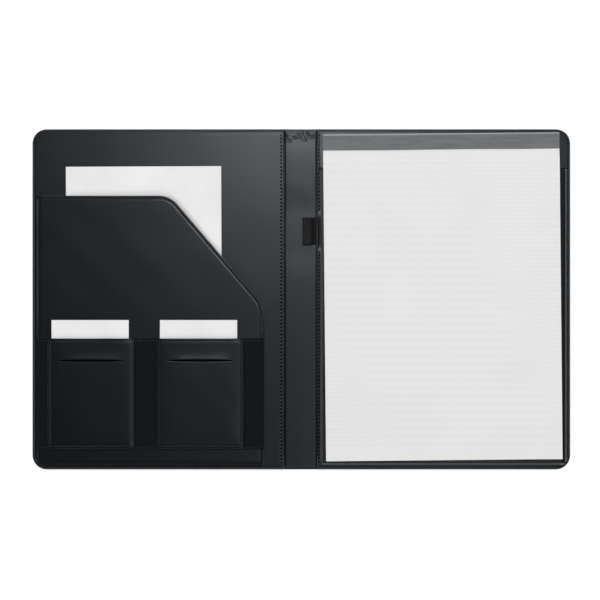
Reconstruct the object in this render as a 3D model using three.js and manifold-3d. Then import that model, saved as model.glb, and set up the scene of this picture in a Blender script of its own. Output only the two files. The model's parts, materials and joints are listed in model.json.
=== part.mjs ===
// A conference folder lying open and flat: two padded covers joined by a soft spine,
// a document pocket with a sloping mouth and two slit card pockets on the left,
// and a writing pad held by a sleeve on the right.
// Millimetres, +X to the right, +Y to the head of the folder, +Z up.
// The origin is under the middle of the open folder, on the surface that it lies on.

import * as THREE from 'three';
import { mergeVertices } from 'three/addons/utils/BufferGeometryUtils.js';
import Module from 'manifold-3d';

const wasm = await Module();
wasm.setup();

// Covers and spine, measured across the open folder
const frontWidth = 227;
const spineWidth = 28.4;
const backWidth = 228.2;
const coverHeight = 306;
const cornerRadius = 13;

// Plies of the covers
const skinThickness = 0.8;
const turnInThickness = 0.4;
const turnInWidth = 12;
const edgeRound = 1.4;
const boardThickness = 2;
const boardClearance = 0.3;
const liningThickness = 0.6;
const liningInset = 2.3;
const spineLiningThickness = 0.5;

// Fold lines: the covers' linings are sewn to the skin beside them, clear of the boards
const foldGap = 1.3;
const foldCut = 0.15;
const sewnStrip = 3;
const boardSlope = 3.4;
const hemSlope = 1;

// Gaps between plies that lie on each other
const plyGap = 0.1;
const contentGap = 0.3;

// Document pocket on the front cover
const pocketThickness = 0.8;
const pocketInset = 2;
const pocketMouthDrop = 60;
const pocketRightFromEdge = 208.6;
const slopeAngle = 49.5;
const slopeFoot = 161.3;
const mouthRadius = 30;
const footRadius = 26;
const pocketSeam = 3;
const pocketRise = 6;
const mouthGape = 0.6;
const pocketGridAcross = 24;
const pocketGridAlong = 26;

// Loose sheet in the document pocket
const sheetWidth = 139.5;
const sheetLength = 210;
const sheetThickness = 0.4;
const sheetFromEdge = 30.7;
const sheetDrop = 33.6;
const sheetTurn = 0.26;

// Fabric band behind the card pockets
const bandThickness = 0.5;
const bandHeight = 100.3;
const bandFoot = 17.9;
const bandInset = 0.4;

// Card pockets and the cards in them
const cardPocketThickness = 0.8;
const cardPocketWidth = 77.4;
const cardPocketHeight = 99;
const cardPocketFoot = 18.8;
const leftCardPocketFromEdge = 14.2;
const rightCardPocketFromEdge = 112.4;
const cardPocketRound = 1.5;
const cardSeam = 0.5;
const cardRise = 1.7;
const slitLength = 58.5;
const slitWidth = 2;
const slitTaper = 8;
const slitBow = 0.6;
const slitDrop = 19.8;
const lipRise = 0.8;
const lipFade = 3.5;
const lipEnds = 12;
const cardPocketGrid = 12;
const cardWidth = 69.3;
const cardLength = 105;
const cardThickness = 0.4;
const cardProud = 16.6;
const leftCardShift = -0.7;
const rightCardShift = -1.6;

// Sleeve and writing pad on the back cover
const sleeveThickness = 0.8;
const sleeveMouthDrop = 34.6;
const sleeveSeam = 2.2;
const sleeveRise = 2;
const padWidth = 211.6;
const padLength = 293;
const padFromFold = 7.35;
const padDrop = 4.1;
const padTurn = 0.55;
const pagesThickness = 5;
const backingThickness = 0.8;
const pagesBend = 10;
const pagesClear = 2;
const tapeThickness = 0.3;
const tapeWidth = 14.6;

// Spine strip and pen loop
const gatherDepth = 0.45;
const gatherLength = 12;
const gatherPitch = 4.3;
const spineFlat = 3.4;
const spineCrown = 0.5;
const crownClear = 2;
const crownFade = 12;
const loopHeadDrop = 79.4;
const loopBandWidth = 24.4;
const loopReach = 12.6;
const loopHeight = 6.3;
const loopBandThickness = 0.7;
const loopTailThickness = 1;
const loopTailLength = 3;
const loopTailInset = 0.4;
const loopCrown = 6.6;
const loopRound = 2.2;
const loopCrownRound = 3.2;
const loopFootRound = 1.76;
const loopTailRound = 2;

// Places that follow from the sizes above
const openWidth = frontWidth + spineWidth + backWidth;
const leftEdge = -openWidth / 2;
const rightEdge = openWidth / 2;
const frontFold = leftEdge + frontWidth;
const backFold = rightEdge - backWidth;
const head = coverHeight / 2;
const foot = -coverHeight / 2;
const boardTop = skinThickness + boardThickness;
const panelTop = boardTop + turnInThickness;
const hemTop = skinThickness + turnInThickness;
const liningTop = panelTop + plyGap + liningThickness;
const spineTop = skinThickness + plyGap + spineLiningThickness;
const boardEdge = foldGap + sewnStrip + boardSlope;
const hemEdge = head - turnInWidth;
const hemMarks = [-hemEdge, hemSlope - hemEdge, hemEdge - hemSlope, hemEdge];
const above = liningTop + 40;
const overcut = 1;
const tiny = 1e-9;

const sheetLevel = liningTop + plyGap;
const pocketLift = plyGap + sheetThickness + contentGap + plyGap;
const pocketTop = liningTop + plyGap + pocketLift + pocketThickness;
const bandTop = pocketTop + plyGap + bandThickness;
const cardLevel = bandTop + plyGap;
const cardLift = cardThickness + contentGap;

const backingLevel = liningTop + contentGap + tapeThickness;
const backingTop = backingLevel + backingThickness;
const sleeveLift = backingTop + contentGap - liningTop - plyGap;
const sleeveTop = liningTop + plyGap + sleeveLift + sleeveThickness;
const pagesStep = sleeveTop + contentGap - backingTop;

// Shape helpers

function ramp(from, to, value) {
  return THREE.MathUtils.smoothstep(value, from, to);
}

// Grid lines from one side to the other, with a line on every mark
function gridLines(from, to, marks, step) {
  const inside = marks.filter((mark) => mark > from && mark < to);
  const stops = [from, ...inside, to].sort((a, b) => a - b);
  const lines = [from];
  for (let i = 1; i < stops.length; i++) {
    const span = stops[i] - stops[i - 1];
    const count = Math.ceil(span / step - tiny);
    for (let k = 1; k <= count; k++) {
      lines.push(stops[i - 1] + (span * k) / count);
    }
  }
  return lines;
}

// A sheet over a grid, lying on the height that underside(x, y) gives
function sheet(xs, ys, underside, thickness) {
  const across = xs.length - 1;
  const along = ys.length - 1;
  const geometry = new THREE.BoxGeometry(1, 1, 1, across, along, 1);
  const position = geometry.attributes.position;
  for (let i = 0; i < position.count; i++) {
    const x = xs[Math.round((position.getX(i) + 0.5) * across)];
    const y = ys[Math.round((position.getY(i) + 0.5) * along)];
    const top = position.getZ(i) > 0 ? thickness : 0;
    position.setXYZ(i, x, y, underside(x, y) + top);
  }
  return geometry;
}

// A closed outline through corners [x, y, radius], each corner turned into an arc
function outline(corners) {
  const shape = new THREE.Shape();
  corners.forEach(([x, y, radius], i) => {
    if (radius === 0) {
      if (i === 0) shape.moveTo(x, y);
      else shape.lineTo(x, y);
      return;
    }
    const [beforeX, beforeY] = corners.at(i - 1);
    const [afterX, afterY] = corners[(i + 1) % corners.length];
    const corner = new THREE.Vector2(x, y);
    const back = new THREE.Vector2(beforeX, beforeY).sub(corner).normalize();
    const ahead = new THREE.Vector2(afterX, afterY).sub(corner).normalize();
    const half = Math.acos(back.dot(ahead)) / 2;
    const toCentre = back.clone().add(ahead).setLength(radius / Math.sin(half));
    const centre = corner.clone().add(toCentre);
    const reach = radius / Math.tan(half);
    const start = corner.clone().addScaledVector(back, reach).sub(centre);
    const end = corner.clone().addScaledVector(ahead, reach).sub(centre);
    const clockwise = back.cross(ahead) > 0;
    shape.absarc(centre.x, centre.y, radius, start.angle(), end.angle(), clockwise);
  });
  return shape;
}

function prism(shape, bottom, top, curveSegments = 5) {
  const geometry = new THREE.ExtrudeGeometry(shape, {
    depth: top - bottom,
    bevelEnabled: false,
    curveSegments,
  });
  return geometry.translate(0, 0, bottom);
}

function block(x0, x1, y0, y1, z0, z1) {
  const geometry = new THREE.BoxGeometry(x1 - x0, y1 - y0, z1 - z0);
  return geometry.translate((x0 + x1) / 2, (y0 + y1) / 2, (z0 + z1) / 2);
}

// A profile drawn across the folder, x against height, and extruded from y0 to y1
function crossProfile(shape, y0, y1, curveSegments = 6) {
  const geometry = prism(shape, 0, y1 - y0, curveSegments);
  return geometry.rotateX(Math.PI / 2).translate(0, y1, 0);
}

function solid(geometry) {
  const bare = geometry.clone();
  bare.deleteAttribute('normal');
  bare.deleteAttribute('uv');
  const merged = mergeVertices(bare, 1e-4);
  const mesh = new wasm.Mesh({
    numProp: 3,
    vertProperties: new Float32Array(merged.attributes.position.array),
    triVerts: new Uint32Array(merged.index.array),
  });
  return new wasm.Manifold(mesh);
}

function surface(body) {
  const mesh = body.getMesh();
  const geometry = new THREE.BufferGeometry();
  geometry.setAttribute('position', new THREE.BufferAttribute(mesh.vertProperties, 3));
  geometry.setIndex(new THREE.BufferAttribute(mesh.triVerts, 1));
  return geometry;
}

// A sheet cut to an outline
function cutSheet(geometry, shape, curveSegments) {
  return solid(geometry).intersect(solid(prism(shape, -overcut, above, curveSegments)));
}

// Materials

function leatherette(colour) {
  return new THREE.MeshStandardMaterial({ color: colour, roughness: 0.5, metalness: 0 });
}

function clothMaterial(colour) {
  return new THREE.MeshStandardMaterial({ color: colour, roughness: 0.95, metalness: 0 });
}

function paperMaterial(colour) {
  return new THREE.MeshStandardMaterial({ color: colour, roughness: 0.85, metalness: 0 });
}

function named(name, geometry, material) {
  const mesh = new THREE.Mesh(geometry, material);
  mesh.name = name;
  return mesh;
}

// Covers and spine

// The open folder's outline, drawn in from its edge
function coverOutline(inset) {
  const radius = cornerRadius - inset;
  return outline([
    [leftEdge + inset, foot + inset, radius],
    [rightEdge - inset, foot + inset, radius],
    [rightEdge - inset, head - inset, radius],
    [leftEdge + inset, head - inset, radius],
  ]);
}

// One sheet of skin turned in all round, with a hollow for each board and a low spine
function wholeSkin() {
  const rounded = new THREE.ExtrudeGeometry(coverOutline(edgeRound), {
    depth: panelTop - 2 * edgeRound,
    bevelSize: edgeRound,
    bevelThickness: edgeRound,
    bevelSegments: 3,
    curveSegments: 5,
  });
  rounded.translate(0, 0, edgeRound);
  const hollow = prism(coverOutline(skinThickness), skinThickness, boardTop);
  const opening = prism(coverOutline(turnInWidth), skinThickness, above, 3);
  const low = foldGap + sewnStrip;
  const rise = boardEdge + (boardSlope * (above - panelTop)) / (panelTop - hemTop);
  const spineCut = outline([
    [frontFold - low, hemTop, 0],
    [backFold + low, hemTop, 0],
    [backFold + rise, above, 0],
    [frontFold - rise, above, 0],
  ]);
  const nearSpine = block(frontFold - boardEdge, backFold + boardEdge, foot, head, 0, above);
  const spineField = block(
    frontFold - boardEdge,
    backFold + boardEdge,
    foot + turnInWidth,
    head - turnInWidth,
    skinThickness,
    above,
  );
  return solid(rounded)
    .subtract(solid(hollow).subtract(solid(nearSpine)))
    .subtract(solid(opening))
    .subtract(solid(spineField))
    .subtract(solid(crossProfile(spineCut, foot - overcut, head + overcut)));
}

const skin = wholeSkin();

function skinBetween(x0, x1) {
  const field = block(x0, x1, foot - overcut, head + overcut, -overcut, above);
  return surface(skin.intersect(solid(field)));
}

// Board of one cover, thinner round its edge where the skin is turned in over it
function board(x0, x1) {
  const inset = skinThickness + boardClearance;
  const flat = prism(coverOutline(inset), skinThickness, boardTop);
  const raised = prism(coverOutline(turnInWidth + boardClearance), boardTop, panelTop, 3);
  const field = block(x0, x1, foot, head, 0, above);
  return surface(solid(flat).add(solid(raised)).intersect(solid(field)));
}

function frontBoard() {
  return board(leftEdge, frontFold - boardEdge - boardClearance);
}

function backBoard() {
  return board(backFold + boardEdge + boardClearance, rightEdge);
}

// Height of what a lining lies on: board, skin or turned-in hem
function support(x, y) {
  const fromFold = Math.max(frontFold - x, x - backFold);
  const climb = (fromFold - foldGap - sewnStrip) / boardSlope;
  const onHem = THREE.MathUtils.clamp((Math.abs(y) - hemEdge) / hemSlope + 1, 0, 1);
  const low = skinThickness + onHem * turnInThickness;
  return THREE.MathUtils.lerp(low, panelTop, THREE.MathUtils.clamp(climb, 0, 1));
}

function liningUnderside(x, y) {
  return support(x, y) + plyGap;
}

function coverLining(x0, x1, fold) {
  const side = fold === frontFold ? -1 : 1;
  const slope = [fold + side * (foldGap + sewnStrip), fold + side * boardEdge];
  const xs = gridLines(x0, x1, slope, openWidth);
  const ys = gridLines(foot, head, hemMarks, coverHeight);
  return sheet(xs, ys, liningUnderside, liningThickness);
}

function frontLining() {
  const lining = coverLining(leftEdge, frontFold - foldGap, frontFold);
  return surface(cutSheet(lining, coverOutline(liningInset)));
}

function backLining() {
  const lining = coverLining(backFold + foldGap, rightEdge, backFold);
  return surface(cutSheet(lining, coverOutline(liningInset)));
}

// Spine strip: flat beside the folds and under the pen loop, crowned between them,
// and drawn into gathers at the head
function spineHeight(x, y) {
  const fromFold = Math.min(x - frontFold, backFold - x);
  const across = ramp(spineFlat, spineWidth / 2, fromFold);
  const loopHead = head - loopHeadDrop;
  const loopFoot = loopHead - loopBandWidth;
  const fade = crownClear + crownFade;
  const aboveLoop = ramp(loopHead + crownClear, loopHead + fade, y);
  const belowLoop = ramp(crownClear - loopFoot, fade - loopFoot, -y);
  const gathered = ramp(head - liningInset - gatherLength, head - liningInset, y);
  const pleat = Math.cos((2 * Math.PI * (x - frontFold)) / gatherPitch);
  const wave = ramp(0, spineFlat / 2, fromFold) * gathered * gatherDepth * (1 + pleat);
  return across * (aboveLoop + belowLoop) * spineCrown + wave / 2;
}

function spineLining() {
  const x0 = frontFold + foldCut;
  const x1 = backFold - foldCut;
  const y0 = foot + liningInset;
  const y1 = head - liningInset;
  const loopHead = head - loopHeadDrop;
  const loopFoot = loopHead - loopBandWidth;
  const flats = [frontFold + spineFlat, backFold - spineFlat];
  const crownEnds = [crownClear, crownClear + crownFade];
  const belowLoop = crownEnds.map((distance) => loopFoot - distance);
  const aboveLoop = crownEnds.map((distance) => loopHead + distance);
  const gathers = [y1 - gatherLength / 2, y1 - gatherLength / 4];
  const xs = gridLines(x0, x1, flats, gatherPitch / 4);
  const marks = [...hemMarks, ...belowLoop, ...aboveLoop, ...gathers];
  const ys = gridLines(y0, y1, marks, coverHeight / 4);
  const underside = (x, y) => liningUnderside(x, y) + spineHeight(x, y);
  return sheet(xs, ys, underside, spineLiningThickness);
}

// Pen loop: a standing loop of elastic, both ends sewn down beside the back fold
function penLoop() {
  const left = backFold - loopReach;
  const right = backFold - loopTailInset;
  const split = right - loopTailLength;
  const band = loopBandThickness;
  const lean = (split - left - loopCrown) / (loopHeight - loopTailThickness);
  const crownTurn = band * Math.tan((Math.PI / 2 - Math.atan(lean)) / 2);
  const innerCrown = left + loopCrown - crownTurn;
  const innerFoot = innerCrown + lean * (loopHeight - 2 * band);
  const outer = outline([
    [right, 0, 0],
    [right, loopTailThickness, 0],
    [split, loopTailThickness, loopTailRound],
    [left + loopCrown, loopHeight, loopCrownRound],
    [left, loopHeight, loopRound],
    [left, 0, loopFootRound],
  ]);
  const inner = outline([
    [innerFoot, band, 0],
    [left + band, band, loopFootRound - band],
    [left + band, loopHeight - band, loopRound - band],
    [innerCrown, loopHeight - band, loopCrownRound - band],
  ]);
  outer.holes.push(inner);
  const loopHead = head - loopHeadDrop;
  return crossProfile(outer, loopHead - loopBandWidth, loopHead, 3).translate(0, 0, spineTop);
}

// Document pocket and what lies in and on it

const pocketLeft = leftEdge + pocketInset;
const pocketRight = leftEdge + pocketRightFromEdge;
const pocketFoot = foot + pocketInset;
const pocketMouth = head - pocketMouthDrop;
const slopeRun = Math.tan(THREE.MathUtils.degToRad(slopeAngle));
const slopeEnd = head - slopeFoot;
const slopeStart = pocketRight - (pocketMouth - slopeEnd) / slopeRun;

function documentPocketOutline() {
  return outline([
    [pocketLeft, pocketFoot, cornerRadius - pocketInset],
    [pocketRight, pocketFoot, 0],
    [pocketRight, slopeEnd, footRadius],
    [slopeStart, pocketMouth, mouthRadius],
    [pocketLeft, pocketMouth, 0],
  ]);
}

// How far the pocket stands off the lining: sewn down at left, foot and right
function pocketOpen(x, y) {
  const fromLeft = ramp(pocketSeam, pocketSeam + pocketRise, x - pocketLeft);
  const fromRight = ramp(pocketSeam, pocketSeam + pocketRise, pocketRight - x);
  const fromFoot = ramp(pocketSeam, pocketSeam + pocketRise, y - pocketFoot);
  return fromLeft * fromRight * fromFoot;
}

function pocketUnderside(x, y) {
  const open = pocketOpen(x, y);
  const middle = ramp(pocketLeft, slopeStart, x) * ramp(-pocketRight, -slopeStart, -x);
  const gape = mouthGape * middle * ramp(slopeEnd, pocketMouth, y);
  return liningTop + plyGap + open * (pocketLift + gape);
}

const pocketMarksX = [
  pocketLeft + pocketSeam,
  pocketLeft + pocketSeam + pocketRise / 3,
  pocketLeft + pocketSeam + (2 * pocketRise) / 3,
  pocketLeft + pocketSeam + pocketRise,
  pocketRight - pocketSeam - pocketRise,
  pocketRight - pocketSeam - (2 * pocketRise) / 3,
  pocketRight - pocketSeam - pocketRise / 3,
  pocketRight - pocketSeam,
];
const pocketMarksY = [
  pocketFoot + pocketSeam,
  pocketFoot + pocketSeam + pocketRise / 3,
  pocketFoot + pocketSeam + (2 * pocketRise) / 3,
  pocketFoot + pocketSeam + pocketRise,
  slopeEnd,
];

function documentPocket() {
  const xs = gridLines(pocketLeft, pocketRight, pocketMarksX, pocketGridAcross);
  const ys = gridLines(pocketFoot, pocketMouth, pocketMarksY, pocketGridAlong);
  const cover = sheet(xs, ys, pocketUnderside, pocketThickness);
  return surface(cutSheet(cover, documentPocketOutline(), 6));
}

function documentSheet() {
  const geometry = new THREE.BoxGeometry(sheetWidth, sheetLength, sheetThickness);
  const mesh = named('document_sheet', geometry, paperMaterial(0xf4f4f4));
  mesh.position.x = leftEdge + sheetFromEdge + sheetWidth / 2;
  mesh.position.y = head - sheetDrop - sheetLength / 2;
  mesh.position.z = sheetLevel + sheetThickness / 2;
  mesh.rotation.z = THREE.MathUtils.degToRad(sheetTurn);
  return mesh;
}

const bandLow = foot + bandFoot;
const bandHigh = bandLow + bandHeight;

function cardBand() {
  const x0 = pocketLeft + bandInset;
  const x1 = pocketRight - bandInset;
  const xs = gridLines(x0, x1, pocketMarksX, openWidth);
  const underside = (x, y) => pocketUnderside(x, y) + pocketThickness + plyGap;
  return sheet(xs, [bandLow, bandHigh], underside, bandThickness);
}

// The lens shape of a slit, pointed at both ends
function slitShape(x0, x1, y) {
  const low = y - slitWidth * slitBow;
  const high = y + slitWidth * slitBow;
  const slit = new THREE.Shape();
  slit.moveTo(x0, y);
  slit.bezierCurveTo(x0 + slitTaper, low, x1 - slitTaper, low, x1, y);
  slit.bezierCurveTo(x1 - slitTaper, high, x0 + slitTaper, high, x0, y);
  return slit;
}

// Card pocket: sewn down at both sides and the foot, with a gaping slit under its mouth
function cardPocket(x0) {
  const x1 = x0 + cardPocketWidth;
  const y0 = foot + cardPocketFoot;
  const y1 = y0 + cardPocketHeight;
  const slitY = y1 - slitDrop;
  const middle = (x0 + x1) / 2;
  const slitX0 = middle - slitLength / 2;
  const slitX1 = middle + slitLength / 2;
  const edge = cardSeam + cardRise;
  const underside = (x, y) => {
    const inside = Math.min(x - x0, x1 - x);
    const lifted = ramp(cardSeam, edge, inside) * ramp(cardSeam, edge, y - y0);
    const along = ramp(slitX0, slitX0 + lipEnds, x) * ramp(-slitX1, lipEnds - slitX1, -x);
    const raised = y > slitY ? 1 - ramp(slitWidth / 2, lipFade + slitWidth / 2, y - slitY) : 0;
    return cardLevel + lifted * cardLift + along * raised * lipRise;
  };
  const climb = [cardSeam, edge / 2, edge];
  const lefts = climb.map((distance) => x0 + distance);
  const rights = climb.map((distance) => x1 - distance);
  const feet = climb.map((distance) => y0 + distance);
  const lips = [slitX0, slitX0 + lipEnds, slitX1 - lipEnds, slitX1];
  const xs = gridLines(x0, x1, [...lefts, ...rights, ...lips], cardPocketGrid);
  const half = slitWidth / 2;
  const lip = [slitY - half, slitY + half, slitY + half + lipFade / 2, slitY + half + lipFade];
  const ys = gridLines(y0, y1, [...feet, ...lip], cardPocketHeight);
  const round = outline([
    [x0, y0, cardPocketRound],
    [x1, y0, cardPocketRound],
    [x1, y1, cardPocketRound],
    [x0, y1, cardPocketRound],
  ]);
  const slit = slitShape(slitX0, slitX1, slitY);
  const cover = cutSheet(sheet(xs, ys, underside, cardPocketThickness), round, 2);
  return surface(cover.subtract(solid(prism(slit, 0, above, 8))));
}

function noteCard(name, pocketX, shift) {
  const geometry = new THREE.BoxGeometry(cardWidth, cardLength, cardThickness);
  const mesh = named(name, geometry, paperMaterial(0xf2f2f2));
  const mouth = foot + cardPocketFoot + cardPocketHeight;
  mesh.position.x = pocketX + cardPocketWidth / 2 + shift;
  mesh.position.y = mouth + cardProud - cardLength / 2;
  mesh.position.z = cardLevel + cardThickness / 2;
  return mesh;
}

// Sleeve that holds the pad's backing

const sleeveLeft = backFold + foldGap;
const sleeveRight = rightEdge - pocketInset;
const sleeveFoot = foot + pocketInset;
const sleeveMouth = head - sleeveMouthDrop;

function sleeveUnderside(x, y) {
  const fromLeft = ramp(sleeveSeam, sleeveSeam + sleeveRise, x - sleeveLeft);
  const fromRight = ramp(sleeveSeam, sleeveSeam + sleeveRise, sleeveRight - x);
  const fromFoot = ramp(sleeveSeam, sleeveSeam + sleeveRise, y - sleeveFoot);
  const lining = liningUnderside(x, y) + liningThickness + plyGap;
  const open = liningTop + plyGap + sleeveLift;
  return THREE.MathUtils.lerp(lining, open, fromLeft * fromRight * fromFoot);
}

function padSleeve() {
  const climb = [0, 0.25, 0.5, 0.75, 1].map((share) => sleeveSeam + sleeveRise * share);
  const lefts = climb.map((distance) => sleeveLeft + distance);
  const rights = climb.map((distance) => sleeveRight - distance);
  const feet = climb.map((distance) => sleeveFoot + distance);
  const slope = [sleeveLeft + sewnStrip, backFold + boardEdge];
  const xs = gridLines(sleeveLeft, sleeveRight, [...lefts, ...slope, ...rights], openWidth);
  const ys = gridLines(sleeveFoot, sleeveMouth, [...feet, ...hemMarks], coverHeight);
  const cover = sheet(xs, ys, sleeveUnderside, sleeveThickness);
  const cut = outline([
    [sleeveLeft, sleeveFoot, 0],
    [sleeveRight, sleeveFoot, cornerRadius - pocketInset],
    [sleeveRight, sleeveMouth, 0],
    [sleeveLeft, sleeveMouth, 0],
  ]);
  return surface(cutSheet(cover, cut));
}

// Writing pad: backing behind the sleeve, pages in front of it, joined by the tape

const pagesHead = padLength / 2 - tapeThickness - plyGap;

function padBacking() {
  return block(-padWidth / 2, padWidth / 2, -padLength / 2, pagesHead, backingLevel, backingTop);
}

function padPages(sleeveEdge) {
  const bendEnd = sleeveEdge + pagesClear;
  const bendStart = bendEnd + pagesBend;
  const underside = (x, y) => backingTop + pagesStep * (1 - ramp(bendEnd, bendStart, y));
  const middle = (bendStart + bendEnd) / 2;
  const quarters = [bendEnd, (bendEnd + middle) / 2, middle, (bendStart + middle) / 2, bendStart];
  const ys = gridLines(-padLength / 2, pagesHead, quarters, padLength);
  return sheet([-padWidth / 2, padWidth / 2], ys, underside, pagesThickness);
}

// The tape's profile, length against height, wraps the head of the pad
function padTape() {
  const low = backingLevel - tapeThickness;
  const high = backingTop + pagesThickness + tapeThickness;
  const outer = padLength / 2;
  const inner = outer - tapeThickness;
  const wrap = outline([
    [outer - tapeWidth, low, 0],
    [outer, low, 0],
    [outer, high, 0],
    [outer - tapeWidth, high, 0],
    [outer - tapeWidth, high - tapeThickness, 0],
    [inner, high - tapeThickness, 0],
    [inner, low + tapeThickness, 0],
    [outer - tapeWidth, low + tapeThickness, 0],
  ]);
  const lengthwise = new THREE.Matrix4().makeBasis(
    new THREE.Vector3(0, 1, 0),
    new THREE.Vector3(0, 0, 1),
    new THREE.Vector3(1, 0, 0),
  );
  return prism(wrap, -padWidth / 2, padWidth / 2).applyMatrix4(lengthwise);
}

function writingPad() {
  const pad = new THREE.Group();
  const middleY = head - padDrop - padLength / 2;
  const turn = THREE.MathUtils.degToRad(padTurn);
  pad.position.set(backFold + padFromFold + padWidth / 2, middleY, 0);
  pad.rotation.z = turn;
  const leftSag = (padWidth / 2) * Math.sin(turn);
  const sleeveEdge = sleeveMouth - middleY + leftSag;
  pad.add(
    named('pad_backing', padBacking(), paperMaterial(0x8d8b86)),
    named('pad_pages', padPages(sleeveEdge), paperMaterial(0xf3f3f2)),
    named('pad_binding', padTape(), paperMaterial(0x6b6f70)),
  );
  return pad;
}

// Assembly

function frontCover() {
  const cover = new THREE.Group();
  const leftPocket = leftEdge + leftCardPocketFromEdge;
  const rightPocket = leftEdge + rightCardPocketFromEdge;
  const outside = skinBetween(leftEdge - overcut, frontFold - foldCut);
  cover.add(
    named('front_cover_skin', outside, leatherette(0x17181a)),
    named('front_board', frontBoard(), paperMaterial(0x8a8478)),
    named('front_lining', frontLining(), leatherette(0x3a3d3f)),
    named('document_pocket', documentPocket(), leatherette(0x24272a)),
    documentSheet(),
    named('card_band', cardBand(), clothMaterial(0x14171a)),
    named('card_pocket_left', cardPocket(leftPocket), leatherette(0x1b1e21)),
    named('card_pocket_right', cardPocket(rightPocket), leatherette(0x1b1e21)),
    noteCard('note_card_left', leftPocket, leftCardShift),
    noteCard('note_card_right', rightPocket, rightCardShift),
  );
  return cover;
}

function spine() {
  const group = new THREE.Group();
  const outside = skinBetween(frontFold + foldCut, backFold - foldCut);
  group.add(
    named('spine_skin', outside, leatherette(0x17181a)),
    named('spine_lining', spineLining(), leatherette(0x2c2f32)),
    named('pen_loop', penLoop(), clothMaterial(0x101214)),
  );
  return group;
}

function backCover() {
  const cover = new THREE.Group();
  const outside = skinBetween(backFold + foldCut, rightEdge + overcut);
  cover.add(
    named('back_cover_skin', outside, leatherette(0x17181a)),
    named('back_board', backBoard(), paperMaterial(0x8a8478)),
    named('back_lining', backLining(), leatherette(0x3a3d3f)),
    named('pad_pocket', padSleeve(), leatherette(0x202326)),
    writingPad(),
  );
  return cover;
}

const folder = new THREE.Group();
folder.add(frontCover(), spine(), backCover());

export default folder;
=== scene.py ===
"""Looks of the conference folder: fine sheets, stitching, skins, finishes, light and camera.

Lengths are in millimetres until a mesh is made, and heights follow the plies of the CAD model.
"""

import json
import math

import bmesh
import bpy
import numpy as np
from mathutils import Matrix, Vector
from mathutils.geometry import delaunay_2d_cdt


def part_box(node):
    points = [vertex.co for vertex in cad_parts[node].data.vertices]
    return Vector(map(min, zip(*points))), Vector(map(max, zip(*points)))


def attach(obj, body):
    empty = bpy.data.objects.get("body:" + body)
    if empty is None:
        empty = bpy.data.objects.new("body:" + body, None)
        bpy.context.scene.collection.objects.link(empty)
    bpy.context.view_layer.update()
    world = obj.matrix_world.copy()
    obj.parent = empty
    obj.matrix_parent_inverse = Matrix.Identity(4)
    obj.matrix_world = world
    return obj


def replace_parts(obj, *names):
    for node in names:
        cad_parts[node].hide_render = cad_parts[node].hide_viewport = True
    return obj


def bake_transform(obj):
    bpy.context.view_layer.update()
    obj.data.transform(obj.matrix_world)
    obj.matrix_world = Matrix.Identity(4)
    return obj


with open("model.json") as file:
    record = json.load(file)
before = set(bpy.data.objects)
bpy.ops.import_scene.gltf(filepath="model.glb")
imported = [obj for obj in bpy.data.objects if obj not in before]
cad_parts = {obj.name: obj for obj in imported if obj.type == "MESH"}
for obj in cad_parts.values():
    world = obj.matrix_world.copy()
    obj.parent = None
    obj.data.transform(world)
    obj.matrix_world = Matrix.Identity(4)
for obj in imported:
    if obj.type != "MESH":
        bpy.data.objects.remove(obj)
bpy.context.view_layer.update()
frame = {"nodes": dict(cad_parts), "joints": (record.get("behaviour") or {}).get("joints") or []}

MM = 0.001


# Places taken from the frame

def node_box(name):
    low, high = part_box(name)
    return np.array(low) / MM, np.array(high) / MM


def sides_of(name):
    """Left, foot, right and head of a node, seen from above."""
    low, high = node_box(name)
    return low[0], low[1], high[0], high[1]


def fold_of(joint_name):
    joint = next(j for j in frame["joints"] if j["name"] == joint_name)
    return joint["pos_m"][0] / MM


FRONT_FOLD = fold_of("front_cover_hinge")
BACK_FOLD = fold_of("spine_hinge")
MIDDLE = (FRONT_FOLD + BACK_FOLD) / 2
LEFT, FOOT = sides_of("front_cover_skin")[:2]
RIGHT, HEAD = sides_of("back_cover_skin")[2:]

# Plies, as in the CAD model
CORNER = 13.0
EDGE_ROUND = 1.4
SKIN = 0.8
HEM = 0.4
HEM_WIDTH = 12.0
HEM_TOP = SKIN + HEM
HEM_EDGE = HEAD - HEM_WIDTH
PANEL_TOP = node_box("front_cover_skin")[1][2]
PLY_GAP = 0.1
CONTENT_GAP = 0.3
LINING = 0.6
LINING_INSET = 2.3
LINING_TOP = PANEL_TOP + PLY_GAP + LINING
LINING_FOOT = FOOT + LINING_INSET
LINING_HEAD = HEAD - LINING_INSET
SPINE_LINING = 0.5
FOLD_GAP = 1.3
STRIP_REACH = 0.35
FRONT_LINING_EDGE = FRONT_FOLD - FOLD_GAP
BACK_LINING_EDGE = BACK_FOLD + FOLD_GAP
FRONT_STITCH = 2.2
BACK_STITCH = 1.25
SPINE_STITCH = 1.9

# Document pocket
POCKET_LEFT, POCKET_FOOT, POCKET_RIGHT, POCKET_MOUTH = sides_of("document_pocket")
POCKET = 0.8
SLOPE_ANGLE = math.radians(49.5)
SLOPE_DROP = 159.3
SLOPE_END = HEAD - SLOPE_DROP
SLOPE_START = POCKET_RIGHT - (POCKET_MOUTH - SLOPE_END) / math.tan(SLOPE_ANGLE)
MOUTH_ROUND = 21.0
SLOPE_ROUND = 29.0
POCKET_SEAM = 2.6
SHEET = 0.4
POCKET_LIFT = PLY_GAP + SHEET + CONTENT_GAP + PLY_GAP
POCKET_TOP = LINING_TOP + PLY_GAP + POCKET_LIFT + POCKET

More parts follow.
